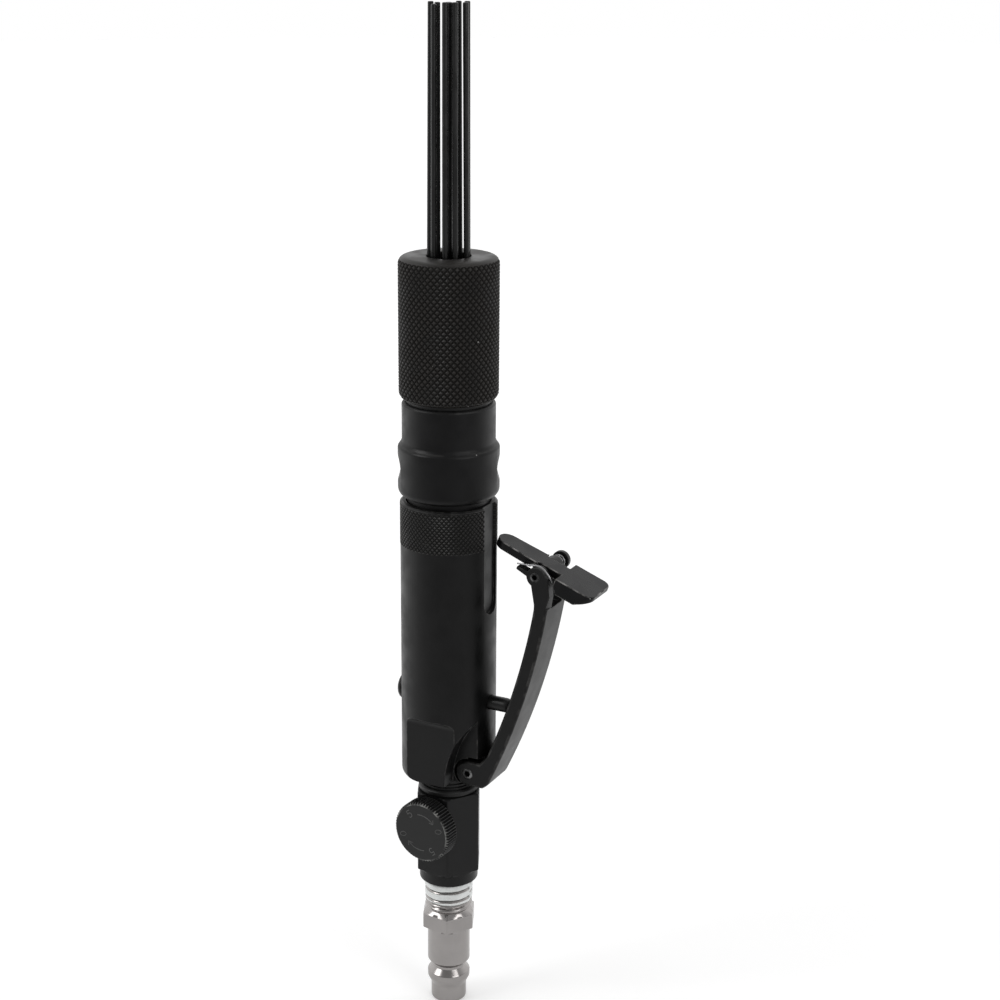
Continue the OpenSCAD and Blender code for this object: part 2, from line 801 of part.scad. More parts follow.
module pin_oring() {
    color([0.08, 0.08, 0.08])
        on_valve_axis()
            o_ring(pin_d / 2 + slip + pin_oring_w / 2, pin_oring_w - slip, (seat_x + seat_len + body_r) / 2);
}

// The lever's outline in X and Z, with its bowed arm, its foot and its ears
module lever_outline() {
    outer = arc(arm_centre, arm_r, arm_from, arm_to, bow_steps);
    inner = turned(arc(arm_centre, arm_inner_r, arm_from, arm_to, bow_steps));
    foot_shares = [0.55, 0.76, 0.62];
    polygon(concat(outer, inner));
    translate([pivot_x, pivot_z])
        circle(r = boss_r);
    polygon([
        [pivot_x, pivot_z - boss_r], [pivot_x + foot_shares[0] * arm_foot_out, pivot_z - boss_r],
        [pivot_x + foot_shares[1] * arm_foot_out, pivot_z - foot_shares[2] * boss_r], arm_foot,
        inner[len(inner) - 2], [pivot_x + boss_r, pivot_z + boss_r], [pivot_x, pivot_z + boss_r]
    ]);
    translate([ear_x, ear_z])
        circle(r = ear_r);
    polygon([
        inner[1], outer[bow_steps - 1], arm_tip, [latch_x + ear_out, ear_z], [ear_x, ear_z + ear_r],
        [ear_x - ear_r / 2, ear_z - ear_r * sqrt(3) / 2]
    ]);
}

// The beak on the ears that stops the latch, below the latch's underside
module lever_beak() {
    top = latch_top - nose_t - free;
    root = ear_r / 3;
    polygon([
        on_latch(-beak_len, top), on_latch(-root, top), [ear_x, ear_z], [ear_x - ear_r, ear_z],
        on_latch(-beak_len, top - root)
    ]);
}

module throttle_lever() {
    web_x = body_r + 3 * free;
    color([0.16, 0.16, 0.165])
        difference() {
            union() {
                across(-lever_y, lever_y)
                    lever_outline();
                across(-lever_y, lever_y)
                    lever_beak();
            }
            translate([pivot_x - 2 * boss_r, -fork_w / 2, pivot_z - 2 * boss_r])
                cube([web_x - pivot_x + 2 * boss_r, fork_w, fork_top_z - pivot_z + 2 * boss_r]);
            translate([latch_x - 2 * beak_len, -fork_w / 2, latch_z - fork_depth])
                cube([4 * beak_len, fork_w, 2 * fork_depth]);
            cross_pin(pivot_x, pivot_z, lever_pin_d / 2 + slip, -lever_w, lever_w);
            cross_pin(latch_x, latch_z, latch_pin_d / 2 + snug, -lever_w, lever_w);
        }
}

module lever_pin() {
    bore_share = 0.45;
    color([0.3, 0.3, 0.3])
        difference() {
            cross_pin(pivot_x, pivot_z, lever_pin_d / 2, -lever_y, lever_y);
            cross_pin(pivot_x, pivot_z, bore_share * lever_pin_d / 2, -lever_w, lever_w);
        }
}

// The latch's plan, drawn along the latch and across it
module latch_plan() {
    nose_end = nose_len - nose_w / 2;
    root = ear_r / 2;
    tail_end = tail_len - tail_round;
    tail_half = tail_w / 2 - tail_round;
    translate([-nose_end, 0])
        circle(d = nose_w);
    polygon([
        [-nose_end, -nose_w / 2], [-root, -nose_root_w / 2], [-root, nose_root_w / 2], [-nose_end, nose_w / 2]
    ]);
    translate([-root - over, -waist_w / 2])
        square([shoulder + root + 2 * over, waist_w]);
    translate([shoulder, -tail_w / 2])
        square([tail_end - shoulder, tail_w]);
    translate([tail_end - over, -tail_half])
        square([tail_round + over, 2 * tail_half]);
    for (side = [-1, 1])
        translate([tail_end, side * tail_half])
            circle(r = tail_round);
}

// The latch's section, drawn along the latch and up from its pin
module latch_section() {
    nose_floor = latch_top - nose_t;
    tail_floor = latch_top - tail_t;
    slope = tail_t / 3;
    polygon([
        [-nose_len, nose_floor], [shoulder, nose_floor], [shoulder + slope, tail_floor],
        [tail_len - tail_t, tail_floor], [tail_len, latch_top - tail_t / 3], [tail_len, latch_top],
        [-nose_len, latch_top]
    ]);
    circle(r = hub_r);
    translate([-hub_r, 0])
        square([2 * hub_r, latch_top]);
}

module safety_latch() {
    color([0.2, 0.2, 0.21])
        translate([latch_x, 0, latch_z])
            rotate([0, latch_tilt, 0])
                difference() {
                    intersection() {
                        across(-tail_w / 2, tail_w / 2)
                            latch_section();
                        translate([0, 0, -latch_top - tail_t])
                            linear_extrude(3 * tail_t)
                                latch_plan();
                    }
                    cross_pin(0, 0, latch_pin_d / 2 + slip, -tail_w, tail_w);
                    for (side = [0, 1])
                        mirror([0, side, 0])
                            latch_ear_room();
                }
}

// Room for one ear beside the latch's waist
module latch_ear_room() {
    shift = ear_x - latch_x;
    cross_pin(
        shift * cos(latch_tilt), shift * sin(latch_tilt), ear_r + 2 * free, waist_w / 2, tail_w
    );
}

module latch_pin() {
    color([0.3, 0.3, 0.3])
        union() {
            cross_pin(latch_x, latch_z, latch_pin_d / 2, -lever_y, latch_head_y);
            cross_pin(latch_x, latch_z, latch_head_d / 2, latch_head_y, latch_head_y + latch_head_t);
        }
}

// The latch spring's path: a leg under the nose, over the near ear and across under the waist to the coil
function latch_path() =
    let (
        r = (latch_pin_d + latch_wire) / 2 + free,
        near = -lever_y + latch_wire,
        crossing = on_latch(shoulder - latch_wire, latch_top - nose_t - latch_wire - slip),
        ear_top = ear_z + ear_r + latch_wire,
        leg = on_latch(-beak_len - latch_wire, latch_top - nose_t - free + latch_wire / 2 + slip),
        from = lever_y + latch_wire / 2 + slip,
        pitch = latch_wire + latch_turn_gap,
        start = atan2(crossing.y - latch_z, crossing.x - latch_x) - 90
    )
    concat(
        [[leg.x, near, leg.y], [ear_x - ear_r / 2, near, ear_top - latch_wire / 2], [ear_x, near, ear_top]],
        [for (a = [60, 30]) [
            ear_x + (ear_r + latch_wire) * cos(a), near, ear_z + (ear_r + latch_wire) * sin(a)]],
        [[latch_x + ear_out + latch_wire, near, ear_z + latch_wire / 2]],
        [[crossing.x, near + latch_wire, crossing.y], [crossing.x, from, crossing.y]],
        [for (p = coil(r, latch_turns, pitch, start)) [latch_x + p.x, from + p.z, latch_z + p.y]],
        [[latch_x + r * cos(start) + ear_r * sin(start), from + pitch * latch_turns,
            latch_z + r * sin(start) - ear_r * cos(start)]]
    );

module latch_spring() {
    path = latch_path();
    echo(latch_spring_least_gap = self_gap(path, latch_wire, turn_rings / 2));
    color([0.8, 0.8, 0.8])
        wire(path, latch_wire, [0.31, 0.29, 0.9]);
}

module valve_plate() {
    hole_n = 6;
    circle_share = 0.3;
    color([0.5, 0.5, 0.52])
        difference() {
            rod(main_bore_d / 2, plate_z, liner_z);
            for (i = [0:hole_n - 1])
                rotate([0, 0, 360 * i / hole_n])
                    translate([circle_share * main_bore_d, 0, 0])
                        rod(port_d / 2, plate_z - over, liner_z + over);
        }
}

module cylinder_liner() {
    port_n = 4;
    port_z = (liner_z + thread_z) / 2;
    color([0.6, 0.6, 0.62])
        difference() {
            rod(main_bore_d / 2, liner_z, thread_z);
            rod(piston_d / 2 + slip, liner_z - over, thread_z + over);
            for (i = [0:port_n - 1])
                translate([0, 0, port_z])
                    rotate([90, 0, 360 * (i + 1 / 2) / port_n])
                        cylinder(d = port_d, h = main_bore_d);
        }
}

module piston() {
    groove_shares = [0.2, 0.8];
    color([0.7, 0.7, 0.72])
        difference() {
            rod(piston_d / 2, piston_z, piston_z + piston_len);
            for (share = groove_shares)
                difference() {
                    translate([0, 0, piston_z + share * piston_len - piston_groove_w / 2])
                        cylinder(d = piston_d + over, h = piston_groove_w);
                    rod(piston_d / 2 - piston_groove, piston_z, piston_z + piston_len);
                }
        }
}

// The collar's outside, from its thread in the body to its spigot in the sleeve
module collar_blank() {
    band_r = band_d / 2;
    plain_r = collar_d / 2;
    rise = band_r - plain_r;
    turned_part(concat(
        [
            [0, thread_z], [front_thread_d / 2, thread_z], [front_thread_d / 2, body_top_z - recess_depth],
            [recess_d / 2 - free, body_top_z - recess_depth], [recess_d / 2 - free, collar_z]
        ],
        arc([band_r - collar_round, collar_z + collar_round], collar_round, -75, 0, edge_steps),
        arc([band_r - rise, collar_z + band_len - 2 * rise], rise, 0, 60, edge_steps),
        [
            [plain_r, collar_z + band_len], [plain_r, collar_top_z - rise / 2],
            [plain_r - rise / 2, collar_top_z],
            [front_thread_d / 2, collar_top_z], [front_thread_d / 2, collar_top_z + collar_spigot_len],
            [0, collar_top_z + collar_spigot_len]
        ]
    ));
}

module front_collar() {
    scallop_z = collar_z + (band_len + collar_round) / 2 - (band_d - collar_d) / 2;
    scallop_x = band_d / 2 - scallop_depth + scallop_r;
    color([0.15, 0.15, 0.15])
        difference() {
            collar_blank();
            rod(piston_d / 2 + slip, thread_z - over, anvil_foot_z + front_thread_len);
            rod(anvil_stem_d / 2 + slip, thread_z, anvil_seat_z + over);
            rod(guide_d / 2, anvil_seat_z, collar_top_z + collar_spigot_len + over);
            for (half = [0, 180])
                rotate([0, 0, scallop_turn + half])
                    cross_pin(scallop_x, scallop_z, scallop_r, -band_d, band_d);
        }
}

module anvil() {
    color([0.55, 0.55, 0.57])
        union() {
            rod(anvil_stem_d / 2, anvil_foot_z, anvil_z);
            rod(guide_d / 2 - slip, anvil_z, anvil_top_z);
        }
}

module sleeve_seal() {
    color([0.08, 0.08, 0.08])
        difference() {
            rod(collar_d / 2 - (band_d - collar_d) / 2, collar_top_z, sleeve_z);
            rod(front_thread_d / 2 + snug, collar_top_z - over, sleeve_z + over);
        }
}

module front_sleeve() {
    outer_r = sleeve_d / 2;
    hole_r = sleeve_hole_d / 2;
    bore_r = front_thread_d / 2 + snug;
    color([0.17, 0.16, 0.15])
        turned_part(concat(
            [[bore_r, sleeve_z]],
            arc([outer_r - sleeve_foot_round, sleeve_z + sleeve_foot_round], sleeve_foot_round,
                -90, 0, edge_steps),
            arc([outer_r - sleeve_round, sleeve_top_z - sleeve_round], sleeve_round, 0, 90, edge_steps),
            [[hole_r, sleeve_top_z], [hole_r, sleeve_roof_z], [bore_r, sleeve_roof_z]]
        ));
}

// Puts a shape at every needle's place
module at_needles() {
    for (i = [0:needle_ring_n - 1])
        rotate([0, 0, 360 * i / needle_ring_n])
            translate([needle_ring_r, 0, 0])
                children();
    for (i = [0:needle_core_n - 1])
        rotate([0, 0, 360 * i / needle_core_n])
            translate([needle_core_r, 0, 0])
                children();
}

module needle_holder() {
    color([0.4, 0.4, 0.42])
        difference() {
            rod(guide_d / 2 - slip, holder_z, holder_top_z);
            at_needles()
                rod(needle_d / 2 + slip, holder_z - over, holder_top_z + over);
        }
}

module needles() {
    color([0.18, 0.18, 0.18])
        at_needles() {
            rod(needle_head_d / 2, head_z, head_z + needle_head_t);
            rod(needle_d / 2, head_z, tip_z);
        }
}

module needle_spring() {
    length = sleeve_roof_z - holder_top_z - needle_wire - 2 * slip;
    path = coil(needle_spring_r, needle_turns, length / needle_turns, 0);
    color([0.6, 0.6, 0.6])
        translate([0, 0, holder_top_z + needle_wire / 2 + slip])
            wire(path, needle_wire, [0, 0, 1]);
}

air_plug();
thread_sealant();
inlet_screen();
regulator_body();
regulator_knob();
regulator_stem();
stem_oring();
stem_clip();
seal_ring();
main_body();
valve_cap();
valve_cap_oring();
valve_spring();
valve_poppet();
valve_pin();
pin_oring();
throttle_lever();
lever_pin();
safety_latch();
latch_pin();
latch_spring();
valve_plate();
cylinder_liner();
piston();
front_collar();
anvil();
sleeve_seal();
front_sleeve();
needle_holder();
needles();
needle_spring();
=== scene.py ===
"""Looks of a pneumatic needle scaler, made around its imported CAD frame.

Sizes in the classes are millimetres and follow the CAD solids; meshes are in metres. The tool's axis is +Z with
the needles up, the lever is on +X and the regulator's knob on -Y.
"""

import logging
import math
from contextlib import contextmanager
from dataclasses import dataclass, field, replace
from enum import Enum
from functools import cache
from typing import Callable, Dict, Iterator, List, Optional, Sequence, Tuple

import bmesh
import bpy
import numpy as np
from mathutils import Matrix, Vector


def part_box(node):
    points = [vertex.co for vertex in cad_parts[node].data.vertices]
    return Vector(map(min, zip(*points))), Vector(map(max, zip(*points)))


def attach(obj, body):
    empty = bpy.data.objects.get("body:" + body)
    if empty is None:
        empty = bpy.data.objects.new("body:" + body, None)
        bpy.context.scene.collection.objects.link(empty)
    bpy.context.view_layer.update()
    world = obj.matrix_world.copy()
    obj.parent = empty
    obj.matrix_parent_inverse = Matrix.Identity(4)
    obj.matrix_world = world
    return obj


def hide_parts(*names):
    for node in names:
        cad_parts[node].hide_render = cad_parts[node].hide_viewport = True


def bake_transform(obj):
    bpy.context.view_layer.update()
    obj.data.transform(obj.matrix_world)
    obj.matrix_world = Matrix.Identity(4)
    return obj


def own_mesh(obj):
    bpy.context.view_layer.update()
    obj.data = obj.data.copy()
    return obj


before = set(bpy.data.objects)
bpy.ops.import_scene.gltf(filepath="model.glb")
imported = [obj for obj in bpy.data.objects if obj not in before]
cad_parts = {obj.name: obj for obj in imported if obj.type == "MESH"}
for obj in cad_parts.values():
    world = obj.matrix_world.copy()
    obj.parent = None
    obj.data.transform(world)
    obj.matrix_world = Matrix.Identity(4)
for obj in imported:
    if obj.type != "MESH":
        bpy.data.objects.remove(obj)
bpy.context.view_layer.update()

LOG = logging.getLogger("needle_scaler")
MM, MICRON, TURN = 0.001, 1e-6, 2.0 * math.pi
SAME_SPOT = 1e-7  # points this near, in metres, are one
FILLET_STEPS, EDGE_STEPS = 5, 3  # pieces of a profile's fillet, faces across a rounded edge
WHITE, BLACK = (1.0, 1.0, 1.0, 1.0), (0.0, 0.0, 0.0, 1.0)

Array = np.ndarray
Pair = Tuple[float, float]
Triple = Tuple[float, float, float]
Surface = Tuple[Array, Array]  # points and faces
Waves = Tuple[Tuple[float, float, float, float], ...]  # size, count, climb and start of each
Piece, Mesh, Tree, Socket = bpy.types.Object, bpy.types.Mesh, bpy.types.NodeTree, bpy.types.NodeSocket
Edge = bmesh.types.BMEdge
Pick = Optional[Callable[[Edge], bool]]


class Rides(Enum):
    """The CAD bodies that pieces move with."""

    TOOL = "tool"
    KNOB = "knob"
    LEVER = "lever"
    LATCH = "latch"
    NEEDLES = "needle_pack"


class Slot(Enum):
    """The record's material slots."""

    NICKEL = "plug_nickel"
    SEALANT = "sealant"
    BRASS = "brass"
    BODY = "black_body"
    KNURL = "black_knurl"
    BLACK_STEEL = "black_steel"
    NEEDLE = "needle_steel"
    RUBBER = "rubber"
    STEEL = "steel"
    SPRING = "spring_steel"


# Surfaces worked out with numpy


@dataclass(frozen=True)
class Spots:
    """Points by their radius from an axis, their angle about it in radians and their height along it."""

    radius: Array
    angle: Array
    height: Array


Rule = Callable[[Spots], Array]


@dataclass(frozen=True)
class Axis:
    """A line that profiles are turned about, with the direction where their angle is zero."""

    origin: Triple = (0.0, 0.0, 0.0)
    along: Triple = (0.0, 0.0, 1.0)
    zero: Triple = (1.0, 0.0, 0.0)

    def place(self, at: Spots) -> Array:
        """Turns cylinder coordinates into points: origin + radius * direction(angle) + height * along.

        Args:
            at: the cylinder coordinates.

        Returns:
            Points with a last axis of three.
        """
        along = np.array(self.along) / np.linalg.norm(self.along)
        zero = np.array(self.zero) - along * np.dot(self.zero, along)
        zero = zero / np.linalg.norm(zero)
        out = np.cos(at.angle)[..., None] * zero + np.sin(at.angle)[..., None] * np.cross(along, zero)
        return np.array(self.origin) + at.radius[..., None] * out + at.height[..., None] * along


def ring(count: int) -> Array:
    """Angles of points spaced evenly about an axis."""
    return np.arange(count) * TURN / count


def circle(angle: Array) -> Array:
    """Points of the unit circle, with a last axis of two."""
    return np.stack([np.cos(angle), np.sin(angle)], -1)


def column(radius: float, heights: Array) -> Array:
    """A line along the axis, as (radius, height) rows."""
    return np.stack([np.full_like(heights, radius), heights], 1)


def within(height: Array, low: float, high: float, run_in: float, run_out: float) -> Array:
    """1 between two heights, falling to 0 at them over the lengths given."""
    return np.clip((height - low) / run_in, 0, 1) * np.clip((high - height) / run_out, 0, 1)


def wave(value: Array) -> Array:
    """A triangle wave: 0 at whole numbers and 1 half way between."""
    return 1 - 2 * np.abs(np.mod(value, 1.0) - 0.5)


def ripple(waves: Waves, at: Spots) -> Array:
    """Adds up sine waves, each size * sin(count * angle + climb * height + start)."""
    return sum(size * np.sin(count * at.angle + climb * at.height + start) for size, count, climb, start in waves)


def soft_min(a: Array, b: Array, width: float) -> Array:
    """The smaller of two values, with the place where they cross rounded over the width."""
    blend = np.clip(0.5 + 0.5 * (b - a) / width, 0, 1)
    return b + (a - b) * blend - width * blend * (1 - blend)


def hex_corner(across: float) -> float:
    """Distance of a hexagon's corners from its middle."""
    return across / 2 / math.cos(math.pi / 6)


def hexagon(across: float, angle: Array, turn_deg: float) -> Array:
    """Radius of a hexagon's outline at an angle: half the distance across flats over the cosine of the
    angle from the middle of the nearest flat.

    Args:
        across: distance across the flats.
        angle: angles in radians.
        turn_deg: turn of the hexagon, with a corner at that angle.

    Returns:
        Radii.
    """
    part = TURN / 6
    from_flat = np.mod(angle - math.radians(turn_deg), part) - part / 2
    return across / 2 / np.cos(from_flat)


def rounded(corners: Sequence[Triple], closed: bool = True) -> Array:
    """Rounds the corners of a line: each corner becomes a quadratic curve between the points where a
    fillet of its radius leaves the two sides, at most just under half way along them.

    Args:
        corners: radius from the axis, height and fillet of each corner.
        closed: whether the line comes back to its start.

    Returns:
        An array of (radius, height) rows.
    """
    given = np.array(corners, float)
    rows: List[Array] = []
    count, half_way = len(given), 0.49
    share = np.linspace(0.0, 1.0, FILLET_STEPS + 1)[:, None]
    for i, (r, z, fillet) in enumerate(given):
        here = np.array([r, z])
        if fillet <= 0 or (not closed and i in (0, count - 1)):
            rows.append(here[None])
            continue
        back, ahead = given[i - 1, :2] - here, given[(i + 1) % count, :2] - here
        length_back, length_ahead = np.linalg.norm(back), np.linalg.norm(ahead)
        turn = math.acos(float(np.clip(np.dot(back, ahead) / (length_back * length_ahead), -1, 1)))
        reach = min(fillet / math.tan(turn / 2), half_way * length_back, half_way * length_ahead)
        start, end = here + back / length_back * reach, here + ahead / length_ahead * reach
        rows.append((1 - share) ** 2 * start + 2 * share * (1 - share) * here + share**2 * end)
    return np.concatenate(rows)


def grid_faces(rows: int, cols: int, wrap_rows: bool) -> Array:
    """Joins a grid of points into faces of four corners, each row's last point to its first.

    Args:
        rows: rows of points.
        cols: points in a row.
        wrap_rows: whether the last row joins the first.

    Returns:
        Corner numbers, four to a face.
    """
    i = np.arange(rows if wrap_rows else rows - 1)[:, None]
    j = np.arange(cols)[None, :]
    up, right = (i + 1) % rows, (j + 1) % cols
    corners = [i * cols + j, i * cols + right, up * cols + right, up * cols + j]
    return np.stack(np.broadcast_arrays(*corners), -1).reshape(-1, 4)


def crossed_faces(quads: Array, rows: int, cols: int) -> Array:
    """Cuts a grid's faces in two, by turns along one diagonal and the other, so that the cuts follow the
    grooves of a diamond knurl.

    Args:
        quads: the faces of a closed grid from grid_faces.
        rows: rows of faces.
        cols: faces in a row.

    Returns:
        Corner numbers, three to a face.
    """
    even = ((np.arange(rows)[:, None] - np.arange(cols)[None, :]) % 2 == 0).reshape(-1, 1)
    first = np.where(even, quads[:, [0, 1, 2]], quads[:, [0, 1, 3]])
    second = np.where(even, quads[:, [0, 2, 3]], quads[:, [1, 2, 3]])
    return np.concatenate([first, second])


def gathered(parts: Sequence[Surface]) -> Surface:
    """Gathers several surfaces into one, with their corners renumbered."""
    starts = np.cumsum([0] + [len(points) for points, _ in parts[:-1]])
    return (
        np.concatenate([points for points, _ in parts]),
        np.concatenate([faces + start for (_, faces), start in zip(parts, starts)]),
    )


def swept(path: Array, section: Array, normal: Array, closed: bool) -> Surface:
    """Carries a section along a path in a plane: each point is path + side * x + normal * y, where side is
    the normal crossed with the path's direction. Open ends are drawn in to a point.

    Args:
        path: points in millimetres.
        section: (x, y) rows of a closed section.
        normal: the plane's normal.
        closed: whether the path comes back to its start.

    Returns:
        Points and faces.
    """
    ahead = np.roll(path, -1, 0) - np.roll(path, 1, 0) if closed else np.gradient(path, axis=0)
    ahead = ahead / np.linalg.norm(ahead, axis=1, keepdims=True)
    side = np.cross(normal, ahead)
    points = path[:, None] + section[None, :, :1] * side[:, None] + section[None, :, 1:] * normal
    if not closed:
        ends = [np.repeat(points[k].mean(0)[None, None], len(section), 1) for k in (0, -1)]
        points = np.concatenate([ends[0], points, ends[1]])
    return points.reshape(-1, 3), grid_faces(len(points), len(section), closed)


# Meshes


@contextmanager
def reworked(mesh: Mesh) -> Iterator[bmesh.types.BMesh]:
    """Opens a mesh for editing, and puts the result back.

    Args:
        mesh: the mesh.

    Yields:
        Its editable copy.
    """
    work = bmesh.new()
    work.from_mesh(mesh)
    yield work
    work.to_mesh(mesh)
    work.free()


def linked(name: str, data: bpy.types.ID) -> Piece:
    """Puts a mesh, camera or lamp into the scene, at the origin.

    Args:
        name: name of the object.
        data: the mesh, camera or lamp.

    Returns:
        The object.
    """
    piece = bpy.data.objects.new(name, data)
    bpy.context.scene.collection.objects.link(piece)
    return piece


def smooth_mesh(mesh: Mesh, sharp_deg: float) -> None:
    """Shades a mesh smooth but for its sharp edges.

    Args:
        mesh: the mesh.
        sharp_deg: the angle from which an edge is drawn sharp.
    """
    mesh.polygons.foreach_set("use_smooth", np.ones(len(mesh.polygons), bool))
    mesh.set_sharp_from_angle(angle=math.radians(sharp_deg))
    mesh.update()


def put_mesh(
    name: str, points: Array, faces: Array, crest: Optional[Array] = None, edge: Optional[Array] = None,
    smooth_deg: float = 32.0,
) -> Piece:
    """Puts points in millimetres and faces into a new object, closes seams and poles and turns faces out.

    Args:
        name: name of the piece.
        points: points, three numbers each.
        faces: corner numbers, three or four to a face.
        crest: how high each point stands in a knurl, for its finish's roughness and painted groove shade, or None.
        edge: how much each point is worn and painted with an edge highlight, for its finish, or None.
        smooth_deg: the angle from which an edge is drawn sharp.

    Returns:
        The object, at the origin.
    """
    flat = points.reshape(-1, 3) * MM
    mesh = bpy.data.meshes.new(name)
    mesh.vertices.add(len(flat))
    mesh.vertices.foreach_set("co", flat.astype(np.float32).ravel())
    mesh.loops.add(faces.size)
    mesh.loops.foreach_set("vertex_index", faces.astype(np.int32).ravel())
    mesh.polygons.add(len(faces))
    mesh.polygons.foreach_set("loop_start", np.arange(0, faces.size, faces.shape[1], dtype=np.int32))
    mesh.update(calc_edges=True)
    for mark, value in (("crest", crest), ("edge", edge)):
        if value is not None:
            layer = mesh.attributes.new(mark, "FLOAT", "POINT")
            layer.data.foreach_set("value", value.astype(np.float32).ravel())
    with reworked(mesh) as work:
        bmesh.ops.remove_doubles(work, verts=work.verts, dist=SAME_SPOT)
        bmesh.ops.dissolve_degenerate(work, edges=work.edges, dist=SAME_SPOT / 10)
        bmesh.ops.recalc_face_normals(work, faces=work.faces)
    smooth_mesh(mesh, smooth_deg)
    return linked(name, mesh)


def turned(
    name: str, profile: Array, cols: int, axis: Axis = Axis(), shape: Optional[Rule] = None,
    crest: Optional[Rule] = None, edge: Optional[Rule] = None, crossed: bool = False, smooth_deg: float = 32.0,
) -> Piece:
    """Turns a closed profile about an axis: point (i, j) has the profile's row i at angle 2 pi j / cols,
    its radius reworked by shape.

    Args:
        name: name of the piece.
        profile: closed line of (radius, height) rows.
        cols: points round the axis.
        axis: the line it turns about, by default the tool's.
        shape: gives the radius at the blank's points, or None for a plain turned piece.
        crest: gives the knurl's height there, or None.
        edge: gives the wear and painted edge highlight there, or None.
        crossed: whether the faces are cut for a diamond knurl.
        smooth_deg: the angle from which an edge is drawn sharp.

    Returns:
        The piece.
    """
    rows = len(profile)
    angle = np.broadcast_to(ring(cols), (rows, cols))
    at = Spots(np.repeat(profile[:, :1], cols, 1), angle, np.repeat(profile[:, 1:], cols, 1))
    shaped = replace(at, radius=shape(at)) if shape else at
    values = [rule(at) if rule else None for rule in (crest, edge)]
    faces = grid_faces(rows, cols, True)
    if crossed:
        faces = crossed_faces(faces, rows, cols)
    return put_mesh(name, axis.place(shaped), faces, *values, smooth_deg)


def cad_copy(node: str, name: str) -> Mesh:
    """Copies a CAD node's mesh, without its materials.

    Args:
        node: the CAD node.
        name: name of the copy.

    Returns:
        The copy.
    """
    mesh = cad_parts[node].data.copy()
    mesh.name = name
    mesh.materials.clear()
    return mesh


def softened(
    node: str, name: str, fine: float, wide: float = 0.0, pick: Pick = None, sharp_deg: float = 25.0
) -> Piece:
    """Copies a CAD node with its sharp edges rounded off, and marks the rounded strips for edge wear and a painted edge
    highlight.

    Args:
        node: the CAD node.
        name: name of the piece.
        fine: rounding of the sharp edges, in millimetres.
        wide: rounding of the picked edges.
        pick: tells whether an edge gets the wide rounding.
        sharp_deg: the angle from which an edge counts as sharp.

    Returns:
        The piece.
    """
    mesh = cad_copy(node, name)
    flat_deg, cad_gap, smooth_deg = 0.4, 2 * MICRON, 40.0

    def round_off(width: float, steps: int, chosen: Pick = None) -> None:
        """Rounds the sharp edges, and marks the corners of the new strips.

        Args:
            width: the rounding, in millimetres.
            steps: faces across it.
            chosen: tells which of the sharp edges are rounded, or None for all.
        """
        limit = math.radians(sharp_deg)
        edges = [e for e in work.edges if len(e.link_faces) == 2 and e.calc_face_angle() > limit]
        done = bmesh.ops.bevel(
            work, geom=[e for e in edges if not chosen or chosen(e)], offset=width * MM, segments=steps, profile=0.5,
            affect="EDGES", clamp_overlap=False,
        )
        for face in done["faces"]:
            for corner in face.loops:
                corner[layer] = 1.0

    with reworked(mesh) as work:
        bmesh.ops.remove_doubles(work, verts=work.verts, dist=cad_gap)
        bmesh.ops.dissolve_degenerate(work, edges=work.edges, dist=cad_gap)
        bmesh.ops.dissolve_limit(work, angle_limit=math.radians(flat_deg), verts=work.verts, edges=work.edges)
        layer = work.loops.layers.float.new("edge")
        if pick:
            round_off(wide, EDGE_STEPS + 2, pick)
        round_off(fine, EDGE_STEPS)
        bmesh.ops.remove_doubles(work, verts=work.verts, dist=SAME_SPOT)
    smooth_mesh(mesh, smooth_deg)
    piece = linked(name, mesh)
    piece.modifiers.new("even_normals", "WEIGHTED_NORMAL").keep_sharp = True
    return piece


def rounded_wire(node: str) -> Piece:
    """Copies a wound CAD wire and rounds its section by subdivision.

    Args:
        node: the CAD node.

    Returns:
        The piece.
    """
    mesh = cad_copy(node, f"{node}_wire")
    face_limit, shape_limit = math.radians(50), math.radians(60)
    with reworked(mesh) as work:
        bmesh.ops.remove_doubles(work, verts=work.verts, dist=MICRON)
        bmesh.ops.join_triangles(
            work, faces=work.faces, angle_face_threshold=face_limit, angle_shape_threshold=shape_limit
        )
        bmesh.ops.recalc_face_normals(work, faces=work.faces)
    mesh.polygons.foreach_set("use_smooth", np.ones(len(mesh.polygons), bool))
    piece = linked(mesh.name, mesh)
    soft = piece.modifiers.new("round_section", "SUBSURF")
    soft.levels = soft.render_levels = 1
    return piece


# Finishes


